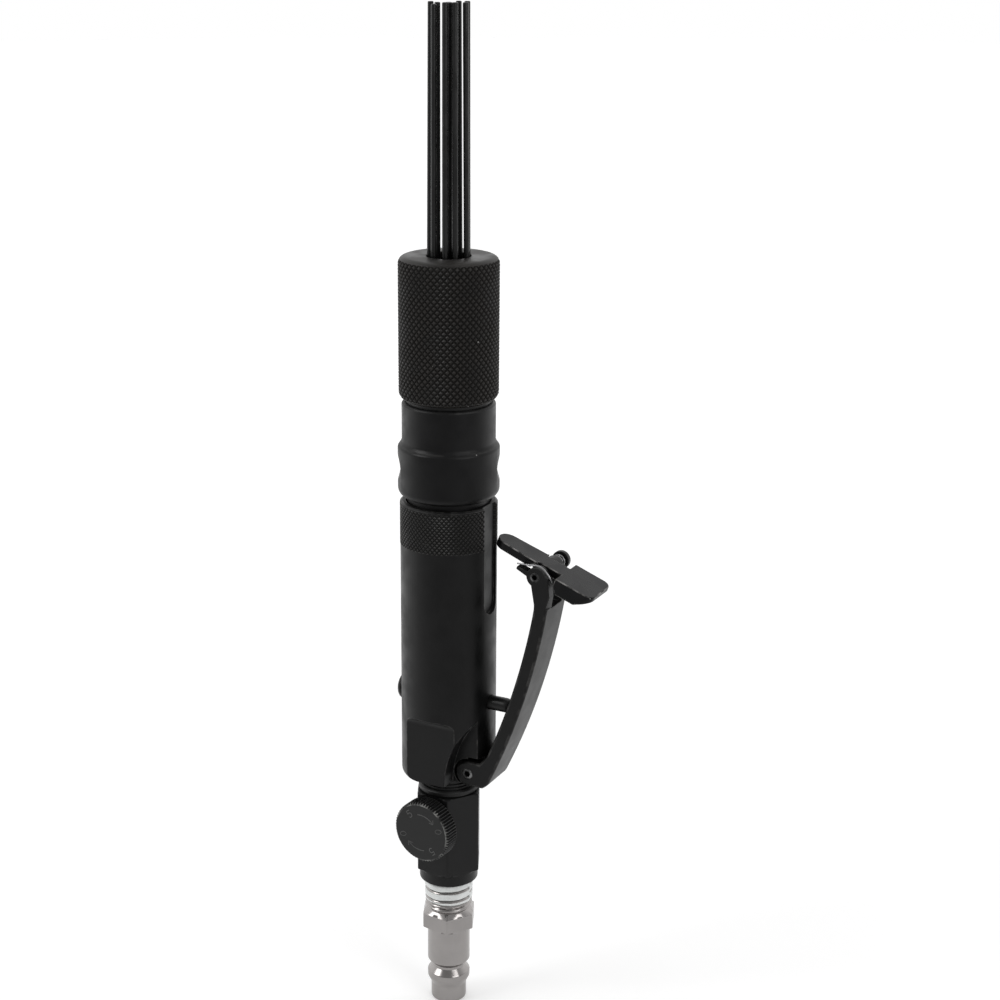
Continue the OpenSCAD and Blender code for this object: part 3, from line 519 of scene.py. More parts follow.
class Graph:
    """A node tree that is wired with short calls."""

    def __init__(self, tree: Tree) -> None:
        """Keeps the tree and where the next node is drawn."""
        self.tree = tree
        self.column = 0

    @classmethod
    def of(cls, owner: bpy.types.ID) -> "Graph":
        """Empties the tree of a material or world and wraps it.

        Args:
            owner: the material or world.

        Returns:
            The graph.
        """
        owner.use_nodes = True
        owner.node_tree.nodes.clear()
        return cls(owner.node_tree)

    def add(self, kind: str, **values: object) -> bpy.types.Node:
        """Adds a node.

        Args:
            kind: type of the node.
            values: its properties by name, and its inputs as in_NAME or in_NUMBER, each a value or a
                socket to link. Underscores in a name stand for spaces.

        Returns:
            The node.
        """
        node = self.tree.nodes.new(kind)
        node.location = (self.column * 180, 0)
        self.column += 1
        inputs = {key[3:]: value for key, value in values.items() if key.startswith("in_")}
        for key in values:
            if not key.startswith("in_"):
                setattr(node, key, values[key])
        for label, value in inputs.items():
            socket = node.inputs[int(label) if label.isdigit() else label.replace("_", " ")]
            if isinstance(value, Socket):
                self.tree.links.new(value, socket)
            else:
                socket.default_value = value
        return node

    def math(self, work: str, a: object, b: object, clamp: bool = False) -> Socket:
        """Adds a Math node and gives its result."""
        return self.add("ShaderNodeMath", operation=work, use_clamp=clamp, in_0=a, in_1=b).outputs[0]

    def product(self, a: object, b: object, c: object, clamp: bool = False) -> Socket:
        """Multiplies three values."""
        return self.math("MULTIPLY", self.math("MULTIPLY", a, b), c, clamp)

    def mix(self, factor: object, a: object, b: object) -> Socket:
        """Adds a colour Mix node and gives its result."""
        return self.add("ShaderNodeMix", data_type="RGBA", in_0=factor, in_6=a, in_7=b).outputs[2]

    def ramp(self, value: object, low: float, high: float, to_low: float = 0.0, to_high: float = 1.0) -> Socket:
        """Adds a smooth Map Range node and gives its result."""
        values = dict(in_0=value, in_1=low, in_2=high, in_3=to_low, in_4=to_high)
        return self.add("ShaderNodeMapRange", interpolation_type="SMOOTHSTEP", **values).outputs[0]

    def mark(self, name: str) -> Socket:
        """Reads one of the mesh's values."""
        return self.add("ShaderNodeAttribute", attribute_name=name).outputs["Fac"]

    def effect(self, tree: Tree, **inputs: object) -> bpy.types.Node:
        """Adds one of the shared groups."""
        return self.add("ShaderNodeGroup", node_tree=tree, **inputs)


class Effects:
    """Node groups that several finishes share, each built once."""

    CLOUD_DETAIL, GRAIN_DETAIL, WEAR_DETAIL = 4.0, 2.0, 5.0
    CLOUD_SPAN, WEAR_SPAN = (0.25, 0.75), (0.38, 0.72)

    @staticmethod
    def _new(name: str, inputs: Sequence[str], outputs: Sequence[str]) -> Tuple[Graph, Dict[str, Socket]]:
        """Starts a group whose first input is a vector and whose other sockets are values.

        Args:
            name: name of the group.
            inputs: names of its values.
            outputs: names of its results.

        Returns:
            The group's graph, and its inputs by name.
        """
        tree = bpy.data.node_groups.new(name, "ShaderNodeTree")
        tree.interface.new_socket("Vector", in_out="INPUT", socket_type="NodeSocketVector")
        for way, labels in (("INPUT", inputs), ("OUTPUT", outputs)):
            for label in labels:
                tree.interface.new_socket(label, in_out=way, socket_type="NodeSocketFloat")
        graph = Graph(tree)
        return graph, dict(graph.add("NodeGroupInput").outputs.items())

    @staticmethod
    @cache
    def grain() -> Tree:
        """Blasted grain and cloudy tone: Tone drifts over a few millimetres, Height is the fine grain."""
        graph, given = Effects._new("blasted_grain", ["Scale", "Cloud"], ["Tone", "Height"])
        cloud, fine = (
            graph.add("ShaderNodeTexNoise", in_Vector=given["Vector"], in_Scale=given[size], in_Detail=detail)
            for size, detail in (("Cloud", Effects.CLOUD_DETAIL), ("Scale", Effects.GRAIN_DETAIL))
        )
        drift = graph.ramp(cloud.outputs[0], *Effects.CLOUD_SPAN)
        graph.add("NodeGroupOutput", in_Tone=drift, in_Height=fine.outputs[0])
        return graph.tree

    @staticmethod
    @cache
    def wear_and_highlight() -> Tree:
        """Edge wear with a painted highlight: the edge value broken up by noise, so that the finish is rubbed through
        and painted bright in places.
        """
        graph, given = Effects._new("edge_wear_and_highlight", ["Edge", "Scale", "Amount"], ["Mask"])
        noise = graph.add(
            "ShaderNodeTexNoise", in_Vector=given["Vector"], in_Scale=given["Scale"], in_Detail=Effects.WEAR_DETAIL
        )
        rubbed_and_highlit = graph.ramp(noise.outputs[0], *Effects.WEAR_SPAN)
        graph.add("NodeGroupOutput", in_Mask=graph.product(rubbed_and_highlit, given["Edge"], given["Amount"], clamp=True))
        return graph.tree

    @staticmethod
    @cache
    def specks() -> Tree:
        """Dust and tiny scratches: a dot in a few cells of a Voronoi pattern, chosen by the cell's number."""
        graph, given = Effects._new("dust_specks", ["Scale", "Share", "Size"], ["Mask"])
        cells = graph.add("ShaderNodeTexVoronoi", in_Vector=given["Vector"], in_Scale=given["Scale"])
        pick = graph.add("ShaderNodeSeparateColor", in_0=cells.outputs["Color"])
        chosen = graph.math("LESS_THAN", pick.outputs[0], given["Share"])
        near = graph.math("LESS_THAN", cells.outputs["Distance"], given["Size"])
        graph.add("NodeGroupOutput", in_Mask=graph.product(chosen, near, pick.outputs[1]))
        return graph.tree


@dataclass(frozen=True)
class Finish:
    """One surface finish, and the material that it makes."""

    name: str
    slot: Slot
    colour: Triple
    roughness: float
    metallic: float = 0.0
    specular: float = 0.5
    tone: float = 0.2
    rough_spread: float = 0.08
    grain: float = 5000.0
    cloud: float = 180.0
    bump_um: float = 4.0
    # Edge wear, which also paints a bright highlight along the edges: its amount, noise scale and colour.
    wear_and_highlight: float = 0.0
    wear_highlight_scale: float = 420.0
    worn_and_highlit: Triple = (0.35, 0.34, 0.33)
    dust: float = 0.0
    dust_scale: float = 520.0
    dust_size: float = 0.085
    dust_colour: Triple = (0.5, 0.5, 0.48)
    # Painted shade in a knurl's grooves: the colour's share there, and the crest values over which it fades.
    painted_groove_shade: float = 1.0
    groove_shade_span: Pair = (0.05, 0.85)
    valley_rough: float = 0.55
    rough_span: Pair = (0.1, 0.9)

    def material(self) -> bpy.types.Material:
        """Builds the material once and gives it back after that."""
        return bpy.data.materials.get(self.name) or self._build()

    def _build(self) -> bpy.types.Material:
        """Wires tone, painted groove shade, edge wear with its painted highlight, dust and bump to a Principled shader.
        """
        made = bpy.data.materials.new(self.name)
        graph = Graph.of(made)
        where = graph.add("ShaderNodeTexCoord").outputs["Object"]
        grain = graph.effect(Effects.grain(), in_Vector=where, in_Scale=self.grain, in_Cloud=self.cloud)
        tone, spread = grain.outputs["Tone"], self.rough_spread
        colour = self._colour(graph, where, tone)
        rough = graph.ramp(tone, 0.0, 1.0, self.roughness - spread, self.roughness + spread)
        if self.painted_groove_shade < 1:
            more = graph.ramp(graph.mark("crest"), *self.rough_span, self.valley_rough, 0.0)
            rough = graph.math("ADD", rough, more, clamp=True)
        bump = graph.add(
            "ShaderNodeBump", in_Strength=1.0, in_Distance=self.bump_um * MICRON, in_Height=grain.outputs["Height"]
        )
        shader = graph.add(
            "ShaderNodeBsdfPrincipled", in_Base_Color=colour, in_Roughness=rough, in_Metallic=self.metallic,
            in_Specular_IOR_Level=self.specular, in_Normal=bump.outputs[0],
        )
        graph.add("ShaderNodeOutputMaterial", in_Surface=shader.outputs[0])
        return made

    def _shade(self, share: float) -> Tuple[float, ...]:
        """The colour made lighter or darker by a share."""
        return (*np.clip(np.array(self.colour) * share, 0, 1), 1.0)

    def _colour(self, graph: Graph, where: Socket, tone: Socket) -> Socket:
        """Mixes the colour's light and dark tones, the painted shade in the grooves, the worn edges with their painted
        highlight and the dust.

        Args:
            graph: the material's tree.
            where: the point on the piece.
            tone: the drift between light and dark.

        Returns:
            The socket with the colour.
        """
        colour = graph.mix(tone, self._shade(1 - self.tone), self._shade(1 + self.tone))
        # Painted shade: the colour darkens in a knurl's grooves, where shade falls.
        if self.painted_groove_shade < 1:
            colour = graph.mix(graph.ramp(graph.mark("crest"), *self.groove_shade_span), self._shade(self.painted_groove_shade), colour)
        # Edge wear and painted highlight: the worn colour is mixed in along the edges, also where it stands in for a
        # glint of light.
        if self.wear_and_highlight > 0:
            values = dict(in_Edge=graph.mark("edge"), in_Scale=self.wear_highlight_scale, in_Amount=self.wear_and_highlight)
            worn_and_highlit = graph.effect(Effects.wear_and_highlight(), in_Vector=where, **values)
            colour = graph.mix(worn_and_highlit.outputs[0], colour, (*self.worn_and_highlit, 1.0))
        if self.dust > 0:
            values = dict(in_Scale=self.dust_scale, in_Share=self.dust, in_Size=self.dust_size)
            dust = graph.effect(Effects.specks(), in_Vector=where, **values)
            colour = graph.mix(dust.outputs[0], colour, (*self.dust_colour, 1.0))
        return colour


class Finishes:
    """The tool's finishes, by what they are on."""

    # The grip band, sleeve, knob and sealant get painted shade in their grooves; the edge wear of the body, collar,
    # regulator, knob, lever, latch and pins also paints a bright edge highlight.
    BODY = Finish(
        "anodised_body", Slot.BODY, (0.0048, 0.0048, 0.0049), 0.42, specular=0.28, bump_um=3.0, wear_and_highlight=0.2, dust=0.03
    )
    GRIP = Finish(
        "anodised_grip_band", Slot.BODY, (0.009, 0.0082, 0.0072), 0.36, specular=0.42, painted_groove_shade=0.15, tone=0.4, dust=0.05
    )
    COLLAR = Finish(
        "satin_collar", Slot.BODY, (0.0044, 0.0044, 0.0047), 0.42, specular=0.24, bump_um=3.0, wear_and_highlight=0.04, dust=0.03
    )
    SLEEVE = Finish(
        "knurled_sleeve", Slot.KNURL, (0.013, 0.0112, 0.0096), 0.42, specular=0.36, painted_groove_shade=0.45, tone=0.45, dust=0.1
    )
    REGULATOR = Finish(
        "regulator_black", Slot.BLACK_STEEL, (0.005, 0.005, 0.0052), 0.4, specular=0.28, wear_and_highlight=0.25, dust=0.02
    )
    KNOB = Finish(
        "knob_black", Slot.BLACK_STEEL, (0.009, 0.009, 0.009), 0.4, specular=0.38, painted_groove_shade=0.15, dust=0.02, wear_and_highlight=1.0,
        worn_and_highlit=(0.28, 0.28, 0.27),
    )
    MARKS = Finish("dial_marks", Slot.BLACK_STEEL, (0.1, 0.1, 0.098), 0.5, tone=0.35, specular=0.4)
    LEVER = Finish(
        "lever_black", Slot.BLACK_STEEL, (0.0045, 0.0045, 0.0046), 0.38, specular=0.28, rough_spread=0.03,
        bump_um=4.0, wear_and_highlight=0.12, dust=0.015,
    )
    LATCH = Finish(
        "latch_black", Slot.BLACK_STEEL, (0.004, 0.004, 0.0045), 0.3, specular=0.22, bump_um=2.5, wear_and_highlight=0.8, dust=0.03
    )
    PINS = Finish("pin_black", Slot.STEEL, (0.005, 0.005, 0.005), 0.34, specular=0.4, wear_and_highlight=1.0, worn_and_highlit=(0.3, 0.3, 0.3))
    NEEDLE = Finish("needle_black", Slot.NEEDLE, (0.006, 0.006, 0.006), 0.26, specular=0.5, bump_um=0.3)
    NICKEL = Finish(
        "satin_nickel", Slot.NICKEL, (0.38, 0.362, 0.354), 0.2, metallic=1.0, tone=0.06, rough_spread=0.04, bump_um=0.3
    )
    SEALANT = Finish(
        "thread_sealant", Slot.SEALANT, (0.9, 0.92, 0.91), 0.55, tone=0.08, grain=2200.0, bump_um=40.0, painted_groove_shade=0.12
    )
    RUBBER = Finish("seal_rubber", Slot.RUBBER, (0.006, 0.006, 0.006), 0.45, specular=0.4)
    STEEL = Finish("ground_steel", Slot.STEEL, (0.45, 0.45, 0.46), 0.3, metallic=1.0, tone=0.1)
    SPRING = Finish("spring_wire", Slot.SPRING, (0.34, 0.34, 0.345), 0.26, metallic=1.0, tone=0.12)
    BRASS = Finish("machined_brass", Slot.BRASS, (0.58, 0.42, 0.17), 0.3, metallic=1.0, tone=0.1)


def coat(piece: Piece, finish: Finish) -> None:
    """Gives a piece its finish alone."""
    piece.data.materials.clear()
    piece.data.materials.append(finish.material())


def dress(piece: Piece, rides: Optional[Rides], finish: Finish, *nodes: str) -> None:
    """Gives a piece its finish and body, and hides the CAD nodes that it stands for.

    Args:
        piece: the piece.
        rides: the body that it moves with, or None for a piece that is left unattached.
        finish: its finish.
        nodes: the CAD nodes that it replaces.
    """
    coat(piece, finish)
    if rides:
        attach(piece, rides.value)
    if nodes:
        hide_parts(*nodes)
    body = rides.value if rides else "two bodies"
    LOG.info("%s rides on %s with %d faces", piece.name, body, len(piece.data.polygons))


# Sub-assemblies


@dataclass
class AirPlug:
    """The nickel plug with its ring, hexagon and thread, and the sealant on the thread."""

    cols: int = 216
    hex_across: float = 14.0
    hex_turn: float = -6.0
    hex_span: Pair = (23.1, 29.0)
    hex_edge: float = 0.16
    thread_r: float = 6.58
    thread_span: Pair = (29.0, 38.3)
    thread_start: float = 0.8
    thread_run: Pair = (0.6, 1.0)
    thread_depth: float = 0.62
    thread_flat: float = 1.25
    pitch: float = 1.337
    rows_per_pitch: int = 10
    bore_r: float = 3.6
    wall: float = 1.0
    sealant_span: Pair = (31.7, 38.5)
    sealant_rise: float = 0.2
    sealant_deep: float = 0.9
    sealant_rows: int = 70
    sealant_fade: Pair = (0.35, 0.2)
    sealant_thin: float = 0.5
    ridge: Triple = (0.1, 2.6, 0.25)
    ragged: Waves = ((0.05, 3, 0, 1.3), (0.03, 7, 0, 0.4), (0.02, 17, 0, 0))
    uneven: Waves = ((0.03, 5, 2, 0), (0.018, 11, -3, 0))

    def profile(self) -> Array:
        """The closed line of the plug from the nose's hole, up its outside and down its bore."""
        (low, high), (start, end) = self.hex_span, self.thread_span
        corner = hex_corner(self.hex_across)
        outside = rounded(
            [
                (self.bore_r, 0.0, 0.4), (5.0, 0.0, 1.3), (5.0, 4.8, 0.3), (6.0, 6.9, 0.8), (6.0, 8.6, 0.8),
                (4.6, 10.2, 0.35), (4.6, 11.0, 0.25), (6.0, 12.4, 0.35), (6.0, low, 0.12),
                (corner - 1.15, low, 0.1), (corner, low + 0.62, 0.25), (corner, high - 1.25, 0.25),
                (6.3, high, 0.15), (5.95, high + 0.3, 0.1), (5.95, high + 0.7, 0.2),
            ],
            closed=False,
        )
        thread = column(self.thread_r, np.arange(start + self.thread_start, end, self.pitch / self.rows_per_pitch))
        inside = rounded(
            [(self.thread_r, end, 0.0), (self.thread_r, 44.2, 0.0), (5.9, 45.0, 0.0), (self.bore_r, 45.0, 0.2),
             (self.bore_r, 22.0, 0.0)],
            closed=False,
        )
        return np.concatenate([outside, thread, inside])

    def shape(self, at: Spots) -> Array:
        """Radius of the plug: the hexagon cuts its span, and the thread is a helical triangle wave.

        Args:
            at: points of the blank.

        Returns:
            Their radii.
        """
        (low, high), (start, end) = self.hex_span, self.thread_span
        outer = at.radius > self.bore_r + self.wall
        flats = soft_min(at.radius, hexagon(self.hex_across, at.angle, self.hex_turn), self.hex_edge)
        shaped = np.where(outer & (at.height >= low) & (at.height <= high), flats, at.radius)
        groove = 1 - np.clip(wave(at.height / self.pitch - at.angle / TURN) * self.thread_flat, 0, 1)
        run_out = np.clip((at.height - start - self.thread_run[0]) / self.thread_run[1], 0, 1)
        in_thread = outer & (at.height >= start + self.thread_start) & (at.height < end)
        return np.where(in_thread, shaped - self.thread_depth * run_out * groove, shaped)

    def sealant_profile(self) -> Array:
        """The closed line of the sealant: a thin sleeve over the thread."""
        low, high = self.sealant_span
        outside = column(self.thread_r + self.sealant_rise, np.linspace(low, high, self.sealant_rows))
        return np.concatenate([outside, column(self.thread_r - self.sealant_deep, np.array([high, low]))])

    def sealant_ridge(self, at: Spots) -> Array:
        """How far the sealant stands on the thread's crests, from 0 in a groove to 1, with a ragged edge.

        Args:
            at: points of the blank.

        Returns:
            The height there.
        """
        shift, gain, drop = self.ridge
        turns = (at.height + ripple(self.ragged, at)) / (2 * self.pitch) - at.angle / TURN / 2
        return np.clip(wave(turns + shift) * gain - drop, 0, 1)

    def sealant_shape(self, at: Spots) -> Array:
        """Radius of the sealant: smeared ridges that leave the thread's grooves open.

        Args:
            at: points of the blank.

        Returns:
            Their radii.
        """
        rise = (self.sealant_ridge(at) - 1) * self.thread_depth + ripple(self.uneven, at)
        ends = within(at.height, *self.sealant_span, *self.sealant_fade)
        return np.where(at.radius > self.thread_r, at.radius + rise - self.sealant_thin * (1 - ends), at.radius)

    def build(self) -> None:
        """Makes the plug and its sealant."""
        plug = turned("plug_nickel", self.profile(), self.cols, shape=self.shape)
        dress(plug, Rides.TOOL, Finishes.NICKEL, "air_plug")
        line = self.sealant_profile()
        sealant = turned("sealant_wrap", line, self.cols, shape=self.sealant_shape, crest=self.sealant_ridge)
        dress(sealant, Rides.TOOL, Finishes.SEALANT, "thread_sealant")


@dataclass
class Regulator:
    """The six-sided regulator with its turned foot, and the sealing ring above it."""

    across: float = 17.0
    turn_deg: float = -4.5
    hex_edge: float = 0.22
    hex_below: float = 0.2
    foot_r: float = 8.2
    foot_z: float = 38.5
    hex_z: float = 41.8
    top_z: float = 66.0
    top_in: float = 0.8
    top_drop: float = 0.4
    spigot_r: float = 4.5
    spigot_top: float = 78.0
    passage_r: float = 2.5
    thread_r: float = 6.6
    thread_end: float = 46.0
    cols: int = 240
    ring_r: float = 8.4
    ring_high: float = 1.9
    ring_gap: float = 0.01
    ring_cols: int = 160
    neck_r: float = 7.2
    groove: float = 0.45
    grooves_up: Pair = (0.75, 1.7)
    body_z: float = 70.6

    def profile(self) -> Array:
        """The closed line of the regulator from its thread, up its outside and down its passage."""
        corner = hex_corner(self.across)
        return rounded(
            [
                (self.thread_r, self.foot_z, 0.3), (self.foot_r, self.foot_z, 0.45), (self.foot_r, self.hex_z, 0.1),
                (corner - 1.3, self.hex_z, 0.1), (corner, self.hex_z + 0.75, 0.3),
                (corner, self.top_z - self.top_drop, 0.15), (corner - self.top_in, self.top_z, 0.15),
                (self.spigot_r, self.top_z, 0.15), (self.spigot_r, self.spigot_top, 0.3),
                (self.passage_r, self.spigot_top, 0.2), (self.passage_r, self.thread_end, 0.1),
                (self.thread_r, self.thread_end, 0.1),
            ]
        )

    def shape(self, at: Spots) -> Array:
        """Radius of the regulator: a hexagon with slightly rounded corners above the foot."""
        flats = soft_min(at.radius, hexagon(self.across, at.angle, self.turn_deg), self.hex_edge)
        return np.where((at.height > self.hex_z - self.hex_below) & (at.radius > self.foot_r), flats, at.radius)

    def ring_profile(self) -> Array:
        """The closed line of the ring: a rounded band, and above it a narrower neck with two grooves."""
        low, band = self.top_z, self.top_z + self.ring_high
        inner, deep = self.spigot_r + self.ring_gap, self.neck_r - self.groove
        corners = [
            (inner, low, 0.0), (self.ring_r - 0.3, low, 0.1), (self.ring_r, low + 0.4, 0.25),
            (self.ring_r, band - 0.5, 0.35), (self.ring_r - 0.5, band, 0.2), (self.neck_r, band, 0.1),
        ]
        for height in (band + up for up in self.grooves_up):
            corners += [(self.neck_r, height - 0.25, 0.12), (deep, height - 0.12, 0.08),
                        (deep, height + 0.12, 0.08), (self.neck_r, height + 0.25, 0.12)]
        return rounded(corners + [(self.neck_r, self.body_z, 0.0), (inner, self.body_z, 0.0)])

    def build(self) -> None:
        """Makes the regulator and the ring."""
        block = turned("regulator_block", self.profile(), self.cols, shape=self.shape)
        dress(block, Rides.TOOL, Finishes.REGULATOR, "regulator_body")
        dress(turned("body_ring", self.ring_profile(), self.ring_cols), Rides.TOOL, Finishes.RUBBER, "seal_ring")


@dataclass
class RegulatorKnob:
    """The knurled knob and the plain marks on its face."""

    radius: float = 8.7
    face: float = 14.4
    length: float = 5.6
    bevel: float = 0.6
    rim: float = 0.8
    worn_highlight_past: float = 0.1
    teeth: int = 64
    cols_per_tooth: int = 8
    tooth_depth: float = 0.5
    tooth_gain: Pair = (2.4, 0.5)
    tooth_ends: Pair = (0.5, 0.1)
    tooth_fade: Pair = (0.4, 0.3)
    height: float = 57.5
    turn_deg: float = -4.5
    mark_wide: float = 0.2
    mark_high: float = 0.04
    mark_deep: float = 0.1
    arc_r: float = 5.3
    arc_steps: int = 24
    arc_deg: Pair = (102.0, 40.0)
    head: Pair = (1.1, 0.75)
    digit_r: float = 6.0
    digit_high: float = 2.0
    nought_deg: float = 17.0
    five_deg: float = 128.0
    axis: Axis = field(init=False)

    def __post_init__(self) -> None:
        """Places the knob's axis, square to the regulator's flat."""
        across, out = math.cos(math.radians(self.turn_deg)), math.sin(math.radians(self.turn_deg))
        self.axis = Axis((0.0, 0.0, self.height), (out, -across, 0.0), (across, out, 0.0))

    def profile(self) -> Array:
        """The closed line of the knob from the middle of its back to the middle of its face."""
        back = self.face - self.length
        ends = rounded(
            [(0.0, back, 0.0), (self.radius - 0.7, back, 0.2), (self.radius, back + 0.7, 0.3)], closed=False
        )
        front = rounded(
            [(self.radius, self.face - self.bevel, 0.1), (self.radius - self.bevel, self.face, 0.25),
             (self.radius - 1.6, self.face, 0.0), (2.0, self.face, 0.0), (0.0, self.face, 0.0)],
            closed=False,
        )
        return np.concatenate([ends, column(self.radius, np.linspace(back + 0.9, self.face - 0.75, 8)), front])

    def grooves(self, at: Spots) -> Array:
        """Depth of the rim's straight grooves from 0 to 1, fading at both ends of the rim.

        Args:
            at: points of the blank.

        Returns:
            The depth there.
        """
        (low, high), (gain, drop) = self.tooth_ends, self.tooth_gain
        fade = within(at.height, self.face - self.length + low, self.face - high, *self.tooth_fade)
        cut = np.clip(gain * (1 - wave(at.angle * self.teeth / TURN)) - drop, 0, 1)
        return np.where(at.radius > self.radius - self.rim, fade * cut, 0.0)

    def shape(self, at: Spots) -> Array:
        """Radius of the knob: the straight knurl is cut into its rim."""
        return at.radius - self.tooth_depth * self.grooves(at)

    def crest(self, at: Spots) -> Array:
        """Height between the grooves, from 0 to 1."""
        return 1 - self.grooves(at)

    def worn_and_highlit(self, at: Spots) -> Array:
        """Wear and painted rim highlight of the knob: the teeth are rubbed bright, and painted bright as a highlight,
        where they meet the front bevel.
        """
        near = self.bevel + self.worn_highlight_past
        return np.where((at.radius > self.radius - near) & (at.height > self.face - near), self.crest(at), 0.0)

    def stroke(self, flat: Array, closed: bool = False) -> Surface:
        """A raised line on the face, a low rectangle carried along its path.

        Args:
            flat: (x, y) rows of the path, x to the right and y up as the knob is read.
            closed: whether the path comes back to its start.

        Returns:
            Points and faces.
        """
        reach = np.hypot(flat[:, 0], flat[:, 1])
        path = self.axis.place(Spots(reach, np.arctan2(flat[:, 1], flat[:, 0]), np.full_like(reach, self.face)))
        half, high, deep = self.mark_wide / 2, self.mark_high, -self.mark_deep
        section = np.array([(half, deep), (half, high), (-half, high), (-half, deep)])
        return swept(path, section, np.array(self.axis.along), closed)

    def arc(self, start: float, end: float) -> List[Surface]:
        """An arc about the knob's middle that ends in an arrowhead.

        Args:
            start: where it starts, in degrees.
            end: where it ends.

        Returns:
            Points and faces of the arc and of the head's two strokes.
        """
        line = self.arc_r * circle(np.radians(np.linspace(start, end, self.arc_steps)))
        out = line[-1] / self.arc_r
        ahead = math.copysign(1.0, end - start) * np.array([-out[1], out[0]])
        size, spread = self.head
        tails = (line[-1] + size * (spread * side * out - ahead) for side in (1, -1))
        return [self.stroke(line), *(self.stroke(np.array([line[-1], tail])) for tail in tails)]

    def digit(self, path: Array, at_deg: float, closed: bool) -> Surface:
        """A digit on the face, standing on the circle of digits with its top outwards.

        Args:
            path: the digit's line, in units of its height, about its middle.
            at_deg: where it stands.
            closed: whether its line is a ring.

        Returns:
            Points and faces.
        """
        up = circle(np.radians(at_deg))
        right = np.array([up[1], -up[0]])
        return self.stroke(self.digit_r * up + self.digit_high * (path[:, :1] * right + path[:, 1:] * up), closed)

    def marks(self) -> Surface:
        """Two arcs with arrowheads, and the plain numbers 0 and 5 at their ends."""
        nought = circle(ring(28)) * (0.3, 0.5)
        bowl = circle(np.radians(np.linspace(120, -140, 16))) * (0.31, 0.32) - (0.0, 0.18)
        five = np.concatenate([[(0.3, 0.5), (-0.22, 0.5), (-0.27, 0.06)], bowl])
        parts: List[Surface] = []
        for half in (0.0, 180.0):
            parts += self.arc(*(end + half for end in self.arc_deg))
            parts.append(self.digit(nought, self.nought_deg + half, True))
            parts.append(self.digit(five, self.five_deg + half, False))
        return gathered(parts)

    def build(self) -> None:
        """Makes the knob and its marks."""
        knob = turned(
            "knob_turned", self.profile(), self.teeth * self.cols_per_tooth, axis=self.axis, shape=self.shape,
            crest=self.crest, edge=self.worn_and_highlit,
        )
        dress(knob, Rides.KNOB, Finishes.KNOB, "regulator_knob")
        dress(put_mesh("knob_marks", *self.marks()), Rides.KNOB, Finishes.MARKS)


@dataclass(frozen=True)
class DiamondKnurl:
    """A diamond knurl: two sets of helical grooves that cross."""

    count: int
    pitch: float
    depth: float
    low: float
    high: float
    fade: float = 0.5
    per_pitch: int = 8
    top: float = 0.7

    def heights(self) -> Array:
        """Heights of the knurl's rows."""
        return np.arange(self.low, self.high, self.pitch / self.per_pitch)

    def cols(self) -> int:
        """Points round the axis."""
        return self.count * self.per_pitch

    def crest(self, at: Spots) -> Array:
        """Height of the diamonds from 0 in a groove to 1 on their flat tops: the lower of two triangle
        waves along the helices, cut off near the top."""
        around, up = at.angle * self.count / TURN, (at.height - self.low) / self.pitch
        return np.clip(np.minimum(wave(around + up), wave(around - up)) / self.top, 0, 1)

    def cut(self, at: Spots) -> Array:
        """Depth cut from the blank, fading at both ends of the knurl."""
        return self.depth * within(at.height, self.low, self.high, self.fade, self.fade) * (1 - self.crest(at))


@dataclass
class BodyShell:
    """The main body with its flats, scoop and slot, its grip band and the valve's cap."""

    edge_round: float = 0.15
    cap_round: float = 0.12
    band: DiamondKnurl = DiamondKnurl(64, 1.36, 0.3, 138.1, 149.35)
    band_r: float = 13.1
    band_rim: float = 0.12
    body_r: float = 13.0
    core_r: float = 12.4
    slot_half: float = 3.4
    slot_floor: float = 11.8
    inset: float = 0.1
    step: float = 0.02
    near: float = 0.2

    def cut_back(self, mesh: Mesh) -> None:
        """Cuts the body's outside back under the band, so that the grooves show their whole depth.

        Args:
            mesh: the body's mesh.
        """
        low, high, step = self.band.low, self.band.high, self.step
        with reworked(mesh) as work:
            for height in (low, low + step, high - step, high):
                whole, at = [*work.verts, *work.edges, *work.faces], (0, 0, height * MM)
                bmesh.ops.bisect_plane(work, geom=whole, plane_co=at, plane_no=(0, 0, 1), dist=SAME_SPOT)
        flat = np.empty(3 * len(mesh.vertices), np.float32)
        mesh.vertices.foreach_get("co", flat)
        points = flat.reshape(-1, 3).astype(float)
        reach, height = np.hypot(points[:, 0], points[:, 1]) / MM, points[:, 2] / MM
        under = (height > low + step / 2) & (height < high - step / 2) & (reach > self.body_r - self.near)
        points[under, :2] *= (self.body_r - self.band.depth) / reach[under, None]
        mesh.vertices.foreach_set("co", points.astype(np.float32).ravel())
        mesh.update()

    def band_shape(self, at: Spots) -> Array:
        """Radius of the band: the knurl is cut into it, and it dips under the floor of the latch's slot.

        Args:
            at: points of the blank.

        Returns:
            Their radii.
        """
        outside = np.where(at.radius > self.core_r + self.inset, at.radius - self.band.cut(at), at.radius)
        in_slot = (np.cos(at.angle) > 0) & (np.abs(self.body_r * np.sin(at.angle)) < self.slot_half)
        return np.where(in_slot, np.minimum(outside, (self.slot_floor - self.inset) / np.cos(at.angle)), outside)

    def build(self) -> None:
        """Makes the body, its band and the cap."""
        shell = softened("main_body", "body_shell", self.edge_round)
        self.cut_back(shell.data)
        dress(shell, Rides.TOOL, Finishes.BODY, "main_body")
        rows = self.band.heights()
        low, high = [(self.core_r, rows[0] - self.band_rim)], [(self.core_r, rows[-1] + self.band_rim)]
        band = turned(
            "grip_band", np.concatenate([low, column(self.band_r, rows), high]), self.band.cols(), crossed=True,
            smooth_deg=12.0, shape=self.band_shape, crest=self.band.crest,
        )
        dress(band, Rides.TOOL, Finishes.GRIP)
        cap = softened("valve_cap", "valve_cap_turned", self.cap_round)
        dress(cap, Rides.TOOL, Finishes.COLLAR, "valve_cap")


